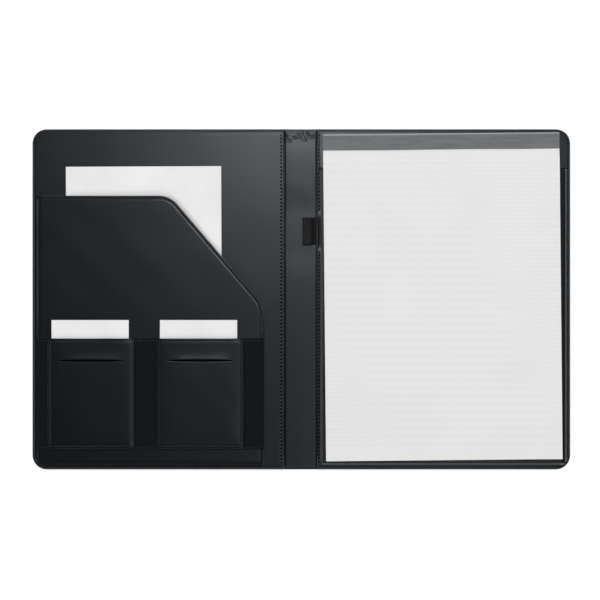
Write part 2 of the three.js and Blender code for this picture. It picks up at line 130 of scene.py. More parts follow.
# Fabric band, card pockets and cards
BAND = 0.5
BAND_LEFT, BAND_FOOT, BAND_RIGHT, BAND_HEAD = sides_of("card_band")
BAND_SEAM = 2.2
CARD_LEVEL = POCKET_TOP + PLY_GAP + BAND + PLY_GAP
CARD_POCKET = 0.8
CARD_LIFT = SHEET + CONTENT_GAP
CARD_SEAM = 0.5
CARD_STITCH = 2.4
SLIT_HALF = 29.25
SLIT_GAPE = 0.95
SLIT_DROP = 19.8
SLIT_GROWTH = (0.0, 0.12, 0.4, 1.0, 1.8, 2.8)
SLIT_CLEAR = 4
SLIT_POINTS = 72
LIP_RISE = 0.36

# Sleeve and pad
SLEEVE_LEFT, SLEEVE_FOOT, SLEEVE_RIGHT, SLEEVE_MOUTH = sides_of("pad_pocket")
SLEEVE = 0.8
SLEEVE_SEAM = 2.5
TAPE = 0.3
TAPE_WIDTH = 14.6
BACKING = 0.8
BACKING_LEVEL = LINING_TOP + CONTENT_GAP + TAPE
BACKING_TOP = BACKING_LEVEL + BACKING
SLEEVE_LIFT = BACKING_TOP + CONTENT_GAP - LINING_TOP - PLY_GAP
SLEEVE_TOP = LINING_TOP + PLY_GAP + SLEEVE_LIFT + SLEEVE
PAGES_STEP = SLEEVE_TOP + CONTENT_GAP - BACKING_TOP
PAGES = 5.0
PAGES_ROUND = 1.2
PAD_WIDTH = 211.6
PAD_LENGTH = 293.0
PAD_TURN = math.radians(0.55)
PAD_FROM_FOLD = 7.35
PAD_FROM_HEAD = 4.1
PAD_X = BACK_FOLD + PAD_FROM_FOLD + PAD_WIDTH / 2
PAD_Y = HEAD - PAD_FROM_HEAD - PAD_LENGTH / 2

# Pen loop
LOOP_LEFT, LOOP_FOOT, LOOP_RIGHT, LOOP_HEAD = sides_of("pen_loop")
LOOP_LOW = node_box("pen_loop")[0][2]

# Drawing steps
STEP = 3.0
ARC_STEP = 0.14
FINE_ARC_STEP = 0.045
GRID_STEP = 5.0

# Angles in degrees from which an edge is drawn sharp
SHARP = 40
SOFT_SHARP = 50
THREAD_SHARP = 60
PAGE_SHARP = 30
TINY = 1e-6


# Shape helpers

def smooth(low, high, value):
    """Rises from 0 to 1 while the value goes from low to high."""
    t = np.clip((value - low) / (high - low), 0.0, 1.0)
    return t * t * (3 - 2 * t)


def hump(value, middle, width):
    """1 at the middle, fading to 0 over about one width to each side."""
    return np.exp(-(((value - middle) / width) ** 2))


def ripple(x, y, length, seed):
    """Slow uneven waves from 0 to 1, about one length across."""
    rate = 2 * math.pi / length
    total = np.zeros_like(x, dtype=float)
    for k in range(5):
        angle = seed * 1.7 + k * 2.399
        stretch = rate * (0.7 + 0.23 * k)
        along = x * math.cos(angle) + y * math.sin(angle)
        total = total + np.sin(along * stretch + seed * 3.1 + k * 1.3 + np.sin(along * rate * 0.31 + k))
    return 0.5 + total / 10


def unit(vector):
    return vector / np.linalg.norm(vector)


def left_of(vector):
    return np.array((-vector[1], vector[0]))


def turned(vector, angle):
    c, s = math.cos(angle), math.sin(angle)
    return np.array((c * vector[0] - s * vector[1], s * vector[0] + c * vector[1]))


def corner_arcs(corners, inset, closed, arc_step):
    """For each corner (x, y, radius) of an anticlockwise outline, the points of its arc."""
    places = [np.array(corner[:2], float) for corner in corners]
    arcs = []
    for i, here in enumerate(places):
        before = here - places[i - 1]
        after = places[(i + 1) % len(places)] - here
        if not closed and i == 0:
            before = after
        if not closed and i == len(places) - 1:
            after = before
        before, after = unit(before), unit(after)
        side_before, side_after = left_of(before), left_of(after)
        moved = here + (side_before + side_after) * inset / (1 + side_before @ side_after)
        turn = math.atan2(before[0] * after[1] - before[1] * after[0], before @ after)
        radius = corners[i][2]
        if radius == 0 or abs(turn) < TINY:
            arcs.append([moved])
            continue
        inner = max(radius - inset, 0.02)
        centre = moved - before * inner * math.tan(turn / 2) + side_before * inner
        count = max(4, math.ceil(turn / arc_step))
        arcs.append([centre + turned(-side_before * inner, turn * k / count) for k in range(count + 1)])
    return arcs


def traced(corners, inset=0.0, closed=True, step=STEP, arc_step=ARC_STEP):
    """Points along an outline drawn in by inset. Every inset gives the same number of points."""
    base = corner_arcs(corners, 0.0, closed, arc_step)
    arcs = corner_arcs(corners, inset, closed, arc_step)
    points = []
    for i, arc in enumerate(arcs):
        points += arc
        if i == len(arcs) - 1 and not closed:
            break
        spacing = corners[i][3] if len(corners[i]) > 3 else step
        gap = np.linalg.norm(base[(i + 1) % len(arcs)][0] - base[i][-1])
        count = max(1, math.ceil(gap / spacing - 1e-9))
        target = arcs[(i + 1) % len(arcs)][0]
        points += [arc[-1] + (target - arc[-1]) * k / count for k in range(1, count)]
    return np.array(points)


def inside(points, ring, margin):
    keep = np.ones(len(points), bool)
    for a, b in zip(ring, np.roll(ring, -1, axis=0)):
        edge = b - a
        length = np.linalg.norm(edge)
        if length > TINY:
            across = edge[0] * (points[:, 1] - a[1]) - edge[1] * (points[:, 0] - a[0])
            keep &= across / length > margin
    return keep


def distance_to(x, y, path):
    points = np.stack((x, y), axis=-1)
    best = np.full(x.shape, 1e9)
    for a, b in zip(path[:-1], path[1:]):
        edge = b - a
        t = np.clip(((points - a) @ edge) / (edge @ edge), 0, 1)
        gap = np.linalg.norm(points - (a + t[..., None] * edge), axis=-1)
        best = np.minimum(best, gap)
    return best


def grid_points(xs, ys):
    across, along = np.meshgrid(xs, ys)
    return np.stack((across.ravel(), along.ravel()), axis=-1)


def triangles_between(loops, extra):
    """Triangles over the points of closed loops and the extra points between them."""
    points = []
    edges = []
    for loop in loops:
        first = len(points)
        points += [Vector(p) for p in loop]
        edges += [(first + i, first + (i + 1) % len(loop)) for i in range(len(loop))]
    points += [Vector(p) for p in extra]
    made = delaunay_2d_cdt(points, edges, [], 1, TINY)
    source = [origins[0] for origins in made[3]]
    return [[source[i] for i in face] for face in made[2]]


# Mesh helpers

def add_object(name, data):
    added = bpy.data.objects.new(name, data)
    bpy.context.scene.collection.objects.link(added)
    return added


def make_piece(name, points, faces, finish, sharp=SHARP, second=None, kinds=()):
    """A piece in metres; kinds picks the finish (0) or the second material (1) for each face."""
    material, slot = finish
    mesh = bpy.data.meshes.new(name)
    mesh.from_pydata([tuple(float(c) * MM for c in p) for p in points], [], faces)
    mesh.materials.append(material)
    if second:
        mesh.materials.append(second)
        mesh.polygons.foreach_set("material_index", kinds)
    work = bmesh.new()
    work.from_mesh(mesh)
    bmesh.ops.recalc_face_normals(work, faces=work.faces)
    work.to_mesh(mesh)
    work.free()
    mesh.shade_smooth()
    mesh.set_sharp_from_angle(angle=math.radians(sharp))
    piece = add_object(name, mesh)
    return piece


def quads(first_ring, second_ring, closed=True):
    """Faces between two rows of points with the same count."""
    count = len(first_ring)
    faces = []
    for i in range(count if closed else count - 1):
        k = (i + 1) % count
        faces.append((first_ring[i], first_ring[k], second_ring[k], second_ring[i]))
    return faces


def tube(rings):
    """Faces of a closed tube: its sides and its two ends."""
    sides = [face for low, high in zip(rings[:-1], rings[1:]) for face in quads(low, high)]
    return sides + [rings[0][::-1], rings[-1]]


def edge_share(distance, radius):
    """How far a rounded edge has opened at that distance from it, from 0 to 1."""
    t = np.clip(1 - distance / radius, 0.0, 1.0)
    return np.sqrt(1 - t * t)


def slit_ring(centre, half, gape, grow):
    turns = np.linspace(0, 2 * math.pi, SLIT_POINTS, endpoint=False)
    x = centre[0] + (half + grow) * np.cos(turns)
    y = centre[1] + (gape + grow) * np.sign(np.sin(turns)) * np.sqrt(np.abs(np.sin(turns)))
    return np.stack((x, y), axis=-1)


def outside_slit(points, slit):
    centre, half, gape = slit
    x, y = np.abs(points - centre).T
    return points[(x > half + SLIT_CLEAR) | (y > gape + SLIT_CLEAR)]


def in_slit(point, slit):
    centre, half, gape = slit
    x, y = point - centre
    grow = SLIT_GROWTH[-1]
    return (x / (half + grow)) ** 2 + (y / (gape + grow)) ** 4 < 1


def cut_sheet(name, corners, insets, under, top, finish, slit=None, grid=GRID_STEP):
    """A closed sheet with rounded edges; slit gives the (centre, half length, gape) of a cut in it."""
    rings = [traced(corners, inset) for inset in insets]
    ring = rings[-1]
    radius = float(np.mean(top(*ring.T) - under(*ring.T))) / 2
    points, faces = [], []

    def both_layers(ring, distance):
        x, y = ring.T
        low, high = under(x, y), top(x, y)
        middle = (low + high) / 2
        share = edge_share(distance, radius)
        up = list(range(len(points), len(points) + len(x)))
        points.extend(zip(x, y, middle + (high - middle) * share))
        if distance == 0:
            return up, up
        points.extend(zip(x, y, middle - (middle - low) * share))
        return up, [i + len(x) for i in up]

    def edge_from(rings, distances):
        """The faces of one edge; gives its last ring, with its points in both layers."""
        upper = lower = None
        for ring, distance in zip(rings, distances):
            up, low = both_layers(ring, distance)
            if upper:
                faces.extend(quads(upper, up))
                faces.extend(face[::-1] for face in quads(lower, low))
            upper, lower = up, low
        return rings[-1], upper, lower

    loops = [edge_from(rings, insets)]
    xs, ys = (np.arange(line.min() + grid / 2, line.max(), grid) for line in ring.T)
    extra = grid_points(xs, ys)
    extra = extra[inside(extra, ring, grid * 0.3)]
    if slit:
        loops.append(edge_from([slit_ring(*slit, grow) for grow in SLIT_GROWTH], SLIT_GROWTH))
        extra = outside_slit(extra, slit)
    count, first = len(extra), len(points)
    x, y = extra.T
    points.extend(zip(x, y, top(x, y)))
    points.extend(zip(x, y, under(x, y)))
    flat = np.concatenate([loop[0] for loop in loops] + [extra])
    up_index = [i for loop in loops for i in loop[1]] + list(range(first, first + count))
    low_index = [i for loop in loops for i in loop[2]] + list(range(first + count, first + 2 * count))
    for face in triangles_between([loop[0] for loop in loops], extra):
        if slit and in_slit(flat[face].mean(axis=0), slit):
            continue
        faces.append([up_index[i] for i in face])
        faces.append([low_index[i] for i in reversed(face)])
    return make_piece(name, points, faces, finish)


def grid_sheet(name, xs, ys, under, top, finish, place=None, sharp=SHARP, layers=1):
    """A closed slab over a grid; layers splits its sides, and place moves its points."""
    xs, ys = np.array(xs, float), np.array(ys, float)
    nx, ny = len(xs), len(ys)
    grid_x, grid_y = np.meshgrid(xs, ys, indexing="ij")
    low, high = under(grid_x, grid_y), top(grid_x, grid_y)
    index, points, faces = {}, [], []

    def vertex(i, j, k):
        if (i, j, k) not in index:
            p = (xs[i], ys[j], low[i, j] + (high[i, j] - low[i, j]) * k / layers)
            index[(i, j, k)] = len(points)
            points.append(place(*p) if place else p)
        return index[(i, j, k)]

    def face(*keys):
        faces.append([vertex(*key) for key in keys])

    for i in range(nx - 1):
        for j in range(ny - 1):
            face((i, j, layers), (i + 1, j, layers), (i + 1, j + 1, layers), (i, j + 1, layers))
            face((i, j, 0), (i, j + 1, 0), (i + 1, j + 1, 0), (i + 1, j, 0))
    for k in range(layers):
        for i in range(nx - 1):
            for j in (0, ny - 1):
                face((i, j, k), (i + 1, j, k), (i + 1, j, k + 1), (i, j, k + 1))
        for j in range(ny - 1):
            for i in (0, nx - 1):
                face((i, j, k), (i, j + 1, k), (i, j + 1, k + 1), (i, j, k + 1))
    return make_piece(name, points, faces, finish, sharp)


def bent_band(name, rows, finish, sharp):
    """A closed band from rows that each give its outer and its inner line of points."""
    points, faces, edges = [], [], []
    for outer, inner in rows:
        first, count = len(points), len(outer)
        points += [*outer, *inner]
        edges.append((list(range(first, first + count)), list(range(first + count, first + 2 * count))))
    for (outer, inner), (next_outer, next_inner) in zip(edges[:-1], edges[1:]):
        faces += quads(outer + inner[::-1], next_outer + next_inner[::-1])
    for outer, inner in (edges[0], edges[-1]):
        faces += quads(outer, inner, closed=False)
    return make_piece(name, points, faces, finish, sharp)


def level_at(height):
    return lambda x, y: np.full_like(x, height)


def placed(middle_x, middle_y, turn):
    """Turns a point about a piece's own middle and moves it to its place."""
    c, s = math.cos(turn), math.sin(turn)
    return lambda x, y, z: (middle_x + c * x - s * y, middle_y + s * x + c * y, z)


def lines_between(low, high, step, marks=()):
    """Grid lines from low to high; marks gives (from, to, finer step)."""
    stops = sorted({low, high, *(m for a, b, _ in marks for m in (a, b) if low < m < high)})
    lines = [low]
    for a, b in zip(stops[:-1], stops[1:]):
        gap = min([step] + [s for m0, m1, s in marks if m0 - TINY <= a and b <= m1 + TINY])
        count = max(1, math.ceil((b - a) / gap - 1e-9))
        lines += [a + (b - a) * k / count for k in range(1, count + 1)]
    return lines


def area_of(corners):
    x, y = traced(corners).T
    return abs(float(np.sum(x * np.roll(y, -1) - y * np.roll(x, -1)))) / 2 * MM * MM


def stand_for(piece, node, body):
    """The piece takes the node's place and moves with its body."""
    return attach(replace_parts(piece, node), body)


def sewn_sheet(name, node, body, corners, insets, heights, finish, rests_on, held="laid", **cut):
    """A sheet cut to the outline of its corners, which stands for its node and rides on the body."""
    piece = cut_sheet(name, corners, insets, *heights, finish, **cut)
    if node:
        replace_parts(piece, node)
    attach(piece, body)
    xs, ys = [c[0] for c in corners], [c[1] for c in corners]
    flat = ((max(xs) - min(xs)) * MM, (max(ys) - min(ys)) * MM)
    area_of(corners)


# Node helpers

def linked(tree, kind, inputs=None, **settings):
    """A new node with its settings, each input linked to a socket or set to a value."""
    node = tree.nodes.new(kind)
    for key, value in settings.items():
        setattr(node, key, value)
    for key, value in (inputs or {}).items():
        if isinstance(value, bpy.types.NodeSocket):
            tree.links.new(value, node.inputs[key])
        else:
            node.inputs[key].default_value = value
    return node


def surface(name, roughness, specular, colour):
    material = bpy.data.materials.new(name)
    material.use_nodes = True
    shader = material.node_tree.nodes["Principled BSDF"]
    shader.inputs["Base Color"].default_value = (*colour, 1)
    shader.inputs["Roughness"].default_value = roughness
    shader.inputs["Specular IOR Level"].default_value = specular
    return material, material.node_tree, shader


def coordinates(tree, turn=0.0, stretch=(1, 1, 1)):
    source = linked(tree, "ShaderNodeTexCoord")
    inputs = {"Vector": source.outputs["Object"], "Rotation": (0, 0, turn), "Scale": stretch}
    return linked(tree, "ShaderNodeMapping", inputs).outputs["Vector"]


def height_of(tree, place):
    return linked(tree, "ShaderNodeSeparateXYZ", {"Vector": place}).outputs["Y"]


def result(tree, operation, first, second):
    return linked(tree, "ShaderNodeMath", {0: first, 1: second}, operation=operation).outputs["Value"]


def noise(tree, place, scale, detail=2.0):
    inputs = {"Vector": place, "Scale": scale, "Detail": detail}
    return linked(tree, "ShaderNodeTexNoise", inputs).outputs["Fac"]


# The wave texture runs 20 radians in one unit of its scaled coordinates
WAVE_RATE = 20


def stripes(tree, place, pitch, axis="Y", distortion=0.0):
    """Bands across one axis, pitch apart in millimetres."""
    scale = 2 * math.pi / (WAVE_RATE * pitch * MM)
    inputs = {"Vector": place, "Scale": scale, "Distortion": distortion}
    return linked(tree, "ShaderNodeTexWave", inputs, bands_direction=axis).outputs["Fac"]


def ranged(tree, value, low, high, from_low=0.0, from_high=1.0):
    inputs = {"Value": value, "From Min": from_low, "From Max": from_high, "To Min": low, "To Max": high}
    return linked(tree, "ShaderNodeMapRange", inputs).outputs["Result"]


def tones(tree, factor, dark, light, low=0.3, high=0.7):
    ramp = linked(tree, "ShaderNodeValToRGB", {"Fac": factor})
    for stop, position, colour in zip(ramp.color_ramp.elements, (low, high), (dark, light)):
        stop.position = position
        stop.color = (*colour, 1)
    return ramp.outputs["Color"]


def mixed(tree, factor, first, second):
    mix = linked(tree, "ShaderNodeMix", {0: factor, 6: first, 7: second}, data_type="RGBA")
    return mix.outputs[2]


def coloured(tree, shader, colour):
    tree.links.new(colour, shader.inputs["Base Color"])


def bump_from(tree, shader, height, strength, depth, below=None):
    """Raises the surface by height; depth is in millimetres, and below is the bump under it."""
    inputs = {"Height": height, "Strength": strength, "Distance": depth * MM}
    if below is not None:
        inputs["Normal"] = below
    bump = linked(tree, "ShaderNodeBump", inputs)
    tree.links.new(bump.outputs["Normal"], shader.inputs["Normal"])
    return bump.outputs["Normal"]


# Materials, with texture scales in cells per metre

COOL_GLOSS = (0.87, 0.95, 1.0, 1)
RULE_PITCH = 7.2
RULE_WIDTH = 0.34
RULE_FIRST = 121.0
RULE_LAST = -134.0
RULE_GREY = (0.70, 0.71, 0.715, 1)
# Pale grey of the painted highlight on the tape's bend over the head
HEAD_HIGHLIGHT_GREY = (0.30, 0.315, 0.32, 1)


def leatherette(name, dark, light, roughness, specular, grain, depth):
    """Coated cloth: fine creased grain over slow unevenness. grain is one cell, in millimetres."""
    material, tree, shader = surface(name, roughness, specular, light)
    place = coordinates(tree)
    cell_inputs = {"Vector": place, "Scale": 1 / (grain * MM)}
    cells = linked(tree, "ShaderNodeTexVoronoi", cell_inputs, feature="SMOOTH_F1")
    creases = noise(tree, place, 900.0, 5.0)
    clouds = noise(tree, place, 22.0, 3.0)
    coloured(tree, shader, tones(tree, clouds, dark, light))
    gloss = ranged(tree, creases, roughness - 0.06, roughness + 0.08)
    tree.links.new(gloss, shader.inputs["Roughness"])
    shader.inputs["Specular Tint"].default_value = COOL_GLOSS
    fine = bump_from(tree, shader, creases, 0.12, depth)
    bump_from(tree, shader, cells.outputs["Distance"], 0.35, depth, fine)
    return material


def woven(name, dark, light, pitch, specular, depth):
    """Plain weave: two crossing sets of threads, pitch apart in millimetres."""
    material, tree, shader = surface(name, 0.9, specular, light)
    place = coordinates(tree)
    across = stripes(tree, place, pitch, "X", 0.6)
    along = stripes(tree, place, pitch, "Y", 0.6)
    both = result(tree, "MULTIPLY", across, along)
    fuzz = noise(tree, place, 2400.0, 4.0)
    coloured(tree, shader, tones(tree, both, dark, light, 0.1, 0.8))
    under = bump_from(tree, shader, fuzz, 0.3, depth)
    bump_from(tree, shader, both, 0.6, depth, under)
    shader.inputs["Sheen Weight"].default_value = 0.05
    return material


def elastic_band():
    """Ribbed elastic: narrow ribs round the loop, broken by the knit."""
    material, tree, shader = surface("elastic_rib", 0.8, 0.25, (0.006, 0.006, 0.007))
    place = coordinates(tree)
    ribs = stripes(tree, place, 0.9, distortion=0.4)
    knit = noise(tree, place, 1800.0, 3.0)
    coloured(tree, shader, tones(tree, ribs, (0.003, 0.003, 0.004), (0.012, 0.012, 0.014)))
    under = bump_from(tree, shader, knit, 0.4, 0.12)
    bump_from(tree, shader, ribs, 0.6, 0.2, under)
    return material


def paper(name, dark, light):
    material, tree, shader = surface(name, 0.85, 0.2, light)
    place = coordinates(tree)
    coloured(tree, shader, tones(tree, noise(tree, place, 30.0), dark, light))
    bump_from(tree, shader, noise(tree, place, 1500.0, 6.0), 0.2, 0.03)
    return material


def ruled_paper():
    """White pages with faint grey lines across them, and the leaves' edges down the sides."""
    material, tree, shader = surface("ruled_paper", 0.85, 0.2, (0.80, 0.805, 0.80))
    place = coordinates(tree, -PAD_TURN)
    height = height_of(tree, place)
    down = result(tree, "SUBTRACT", RULE_FIRST * MM, height)
    within = result(tree, "FLOORED_MODULO", down, RULE_PITCH * MM)
    line = result(tree, "LESS_THAN", within, RULE_WIDTH * MM)
    below_first = result(tree, "GREATER_THAN", down, 0.0)
    above_last = result(tree, "GREATER_THAN", height, RULE_LAST * MM)
    ruled = result(tree, "MULTIPLY", result(tree, "MULTIPLY", line, below_first), above_last)
    clouds = noise(tree, place, 18.0)
    white = tones(tree, clouds, (0.775, 0.78, 0.775), (0.82, 0.82, 0.815), 0.0, 1.0)
    coloured(tree, shader, mixed(tree, ruled, white, RULE_GREY))
    bump_from(tree, shader, stripes(tree, place, 0.22, "Z"), 0.5, 0.06)
    return material


def binding_tape():
    """Grey binding paper with fine ribs along the tape, and a painted pale highlight along the bend over the
    head.
    """
    material, tree, shader = surface("binding_tape", 0.6, 0.4, (0.15, 0.155, 0.16))
    place = coordinates(tree, -PAD_TURN, (0.12, 1, 1))
    streaks = noise(tree, place, 420.0, 4.0)
    tone = tones(tree, streaks, (0.125, 0.135, 0.14), (0.165, 0.17, 0.175))
    height = height_of(tree, coordinates(tree, -PAD_TURN))
    head = (PAD_Y * math.cos(PAD_TURN) - PAD_X * math.sin(PAD_TURN) + PAD_LENGTH / 2) * MM
    # Painted highlight: the tape turns pale grey where its bend over the head catches the light
    head_highlight = ranged(tree, height, 0.0, 1.0, head - 1.7 * MM, head - 0.7 * MM)
    coloured(tree, shader, mixed(tree, head_highlight, tone, HEAD_HIGHLIGHT_GREY))
    under = bump_from(tree, shader, streaks, 0.3, 0.08)
    bump_from(tree, shader, stripes(tree, place, 0.7), 0.25, 0.05, under)
    return material


def flecked(name, dark, light, gloss, texture, bump):
    """One noise for colour and bump. gloss is (roughness, specular), texture (scale, detail)."""
    material, tree, shader = surface(name, *gloss, light)
    flecks = noise(tree, coordinates(tree), *texture)
    coloured(tree, shader, tones(tree, flecks, dark, light))
    bump_from(tree, shader, flecks, *bump)
    return material


def board_paper(name, dark, light):
    return flecked(name, dark, light, (0.9, 0.2), (700.0, 6.0), (0.3, 0.06))


def thread(name, dark, light):
    return flecked(name, dark, light, (0.45, 0.5), (3000.0, 2.0), (0.5, 0.1))


# Near-black finish: painted shade inside the needle holes, also used for the shade in the card slits
def needle_hole_shade():
    material, tree, shader = surface("needle_hole_shade", 0.9, 0.0, (0.002, 0.002, 0.002))
    fuzz = noise(tree, coordinates(tree), 2000.0)
    coloured(tree, shader, tones(tree, fuzz, (0.001, 0.001, 0.001), (0.004, 0.004, 0.004)))
    return material


BOARD = board_paper("cover_board", (0.22, 0.20, 0.17), (0.30, 0.28, 0.24))
THREAD = thread("sewing_thread", (0.02, 0.023, 0.025), (0.045, 0.05, 0.053))
DARK_THREAD = thread("dark_thread", (0.006, 0.007, 0.008), (0.016, 0.018, 0.020))
HOLE_SHADE = needle_hole_shade()

# Finishes: a material and the slot that it belongs to
COVER_TONES = (0.004, 0.005, 0.006), (0.007, 0.008, 0.0095)
SATIN_TONES = (0.0032, 0.0042, 0.0055), (0.0048, 0.006, 0.0078)
DARK_TONES = (0.0013, 0.002, 0.0032), (0.0023, 0.0032, 0.0047)
FABRIC_TONES = (0.0024, 0.0033, 0.0044), (0.006, 0.0078, 0.0095)
CARD_TONES = (0.80, 0.80, 0.80), (0.86, 0.86, 0.86)
CHIP_TONES = (0.24, 0.235, 0.22), (0.34, 0.33, 0.31)
FINE_GRAIN = 0.5, 0.45, 0.02
LINING_SLOT = "lining_leatherette"
POCKET_SLOT = "pocket_leatherette"
COVER = leatherette("cover_leatherette", *COVER_TONES, 0.36, 0.45, 0.75, 0.10), "cover_leatherette"
SATIN = leatherette("lining_leatherette", *SATIN_TONES, 0.30, *FINE_GRAIN), LINING_SLOT
SATIN_SPINE = leatherette("spine_leatherette", *SATIN_TONES, 0.31, *FINE_GRAIN), LINING_SLOT
DARK = leatherette("pocket_leatherette", *DARK_TONES, 0.30, *FINE_GRAIN), POCKET_SLOT
# Near-black painted shade for the gap of each card slit
SLIT_SHADE = HOLE_SHADE, POCKET_SLOT
FABRIC = woven("band_fabric", *FABRIC_TONES, 0.45, 0.1, 0.12), "band_fabric"
ELASTIC = elastic_band(), "elastic"
WHITE_CARD = paper("card_paper", *CARD_TONES), "paper"
RULED = ruled_paper(), "ruled_paper"
TAPE_PAPER = binding_tape(), "binding_tape"
CHIPBOARD = board_paper("pad_chipboard", *CHIP_TONES), "pad_board"


# Heights of the plies, as functions of x and y

WELT = 0.22
FURROW = 0.16
FURROW_HALF = 0.5
LINING_SAG = 0.16
LINING_FURROW = 0.05
TURN_DOWN = 0.09
POCKET_GAPE = 0.6
POCKET_SWELL = 0.35
POCKET_ROLL = 0.14
BAND_WELT = 0.12
CARD_SWELL = 0.3
CARD_WELT = 0.05
CARD_FURROW = 0.10
SLEEVE_WELT = 0.3
SLEEVE_FURROW = 0.12
CROWN = 0.36
GATHER = 0.30
GATHER_DIP = 0.16
PUCKER_LEAN = 0.12
GROOVE = 0.3
STRIP_WAVE = 0.08
PLEAT = 0.22
CREASE = 0.3
CREASE_HALF = 1.3


def climb(x):
    """Rise of a cover from its sewn edge, which rolls down into the fold, to the padded panel."""
    return smooth(-0.1, 1.35, np.maximum(FRONT_FOLD - x, x - BACK_FOLD))


def beside_loop(x, y):
    return smooth(LOOP_HEAD + 10, LOOP_HEAD + 3, y) * smooth(LOOP_FOOT - 10, LOOP_FOOT - 3, y) * (x > 0)


def support(x, y):
    """Top of the turned-in skin and the board, lower beside the pen loop, which needs the room."""
    on_hem = smooth(HEM_EDGE - 4, HEM_EDGE, np.abs(y))
    low = SKIN + on_hem * HEM
    rise = climb(x) + (smooth(0.7, 4.2, x - BACK_FOLD) - climb(x)) * beside_loop(x, y)
    return low + (PANEL_TOP - low) * rise


def welt(distance, height=WELT, seam=POCKET_SEAM):
    """A folded edge: a low flat hem, then the furrow of its stitching."""
    hem = height * (1 - smooth(seam - 1.3, seam - 0.3, distance))
    return hem - FURROW * hump(distance, seam, FURROW_HALF)


def lining_under(x, y):
    return support(x, y) + PLY_GAP


def lining_dip(x, y, seed):
    """The padded lining sinks a little here and there, and at its sewn edge."""
    slow = LINING_SAG * ripple(x, y, 74, seed)
    return -slow * smooth(5, 14, np.maximum(FRONT_FOLD - x, x - BACK_FOLD))


def rolled(y):
    """How far the lining turns down at the head and the foot."""
    return TURN_DOWN * (1 - smooth(0, 2.8, LINING_HEAD - np.abs(y)))


def lining_top(x, y, seed, furrow):
    top = lining_under(x, y) + LINING + lining_dip(x, y, seed)
    return top - LINING_FURROW * furrow - rolled(y)


def front_lining_top(x, y):
    return lining_top(x, y, 1.3, hump(FRONT_LINING_EDGE - x, FRONT_STITCH, 0.5))


def back_lining_top(x, y):
    return lining_top(x, y, 4.1, hump(x - BACK_LINING_EDGE, BACK_STITCH, 0.45))


def pocket_open(x, y):
    left = smooth(0.5, 5.4, x - POCKET_LEFT)
    right = smooth(0.5, 4.6, POCKET_RIGHT - x)
    foot = smooth(0.5, 5.4, y - POCKET_FOOT)
    return left * right * foot


POCKET_CORNERS = [
    (POCKET_LEFT, POCKET_FOOT, CORNER - 2),
    (POCKET_RIGHT, POCKET_FOOT, 0.6),
    (POCKET_RIGHT, SLOPE_END, SLOPE_ROUND),
    (SLOPE_START, POCKET_MOUTH, MOUTH_ROUND),
    (POCKET_LEFT, POCKET_MOUTH, 0.5),
]
POCKET_HEMMED = [
    (POCKET_RIGHT, POCKET_FOOT, 0),
    *POCKET_CORNERS[2:4],
    (POCKET_LEFT, POCKET_MOUTH, 0),
]
POCKET_EDGE = traced(POCKET_HEMMED, closed=False, step=1000)


def pocket_under(x, y):
    middle = smooth(POCKET_LEFT, SLOPE_START, x) * smooth(-POCKET_RIGHT, -SLOPE_START, -x)
    gape = POCKET_GAPE * middle * smooth(SLOPE_END, POCKET_MOUTH, y)
    swell = POCKET_SWELL * ripple(x, y, 66, 2.2) * smooth(BAND_HEAD + 4, BAND_HEAD + 40, y)
    return LINING_TOP + PLY_GAP + pocket_open(x, y) * (POCKET_LIFT + gape + swell)


def pocket_top(x, y):
    edge = distance_to(x, y, POCKET_EDGE)
    hem = welt(edge) - POCKET_ROLL * (1 - smooth(0, 1.7, edge))
    return pocket_under(x, y) + POCKET + hem * smooth(BAND_HEAD, BAND_HEAD + 6, y)


def band_under(x, y):
    return pocket_under(x, y) + POCKET + PLY_GAP


def band_top(x, y):
    return band_under(x, y) + BAND + welt(BAND_HEAD - y, BAND_WELT, BAND_SEAM)


def card_pocket_heights(x0, y0, x1, y1, seed):
    """Underside and top of a card pocket between those sides."""
    slit_y = y1 - SLIT_DROP
    middle = (x0 + x1) / 2

    def under(x, y):
        side = np.minimum(x - x0, x1 - x)
        lifted = smooth(CARD_SEAM, 3.4, side) * smooth(CARD_SEAM, 3.4, y - y0)
        swell = CARD_SWELL * ripple(x, y, 58, seed) * smooth(2, 12, side) * smooth(2, 12, y - y0)
        along = 1 - smooth(SLIT_HALF - 13, SLIT_HALF, np.abs(x - middle))
        lip = np.where(y > slit_y, 1 - smooth(0.8, 6.0, y - slit_y), 0.0)
        return CARD_LEVEL + lifted * (CARD_LIFT + swell) + along * lip * LIP_RISE

    def top(x, y):
        side = np.minimum(x - x0, x1 - x)
        edge = np.minimum(np.minimum(side, y1 - y), y - y0)
        hem = CARD_WELT * (1 - smooth(1.4, 2.2, edge)) - CARD_FURROW * hump(edge, CARD_STITCH, 0.45)
        near_slit = (np.abs(x - middle) < SLIT_HALF + 3) & (np.abs(y - slit_y) < SLIT_CLEAR)
        return under(x, y) + CARD_POCKET + np.where(near_slit, 0.0, hem)

    return under, top


def sleeve_under(x, y):
    left = smooth(2.2, 4.2, x - SLEEVE_LEFT)
    right = 0.78 * smooth(1.4, 2.7, SLEEVE_RIGHT - x) + 0.22 * smooth(1.5, 8.5, SLEEVE_RIGHT - x)
    foot = smooth(2.2, 4.2, y - SLEEVE_FOOT)
    low = lining_under(x, y) + LINING + PLY_GAP
    raised = LINING_TOP + PLY_GAP + SLEEVE_LIFT
    return low + (raised - low) * left * right * foot


def sleeve_top(x, y):
    edge = SLEEVE_MOUTH - y
    hem = SLEEVE_WELT * (1 - smooth(1.0, 2.0, edge))
    furrow = SLEEVE_FURROW * hump(edge, SLEEVE_SEAM, FURROW_HALF)
    return sleeve_under(x, y) + SLEEVE + hem - furrow


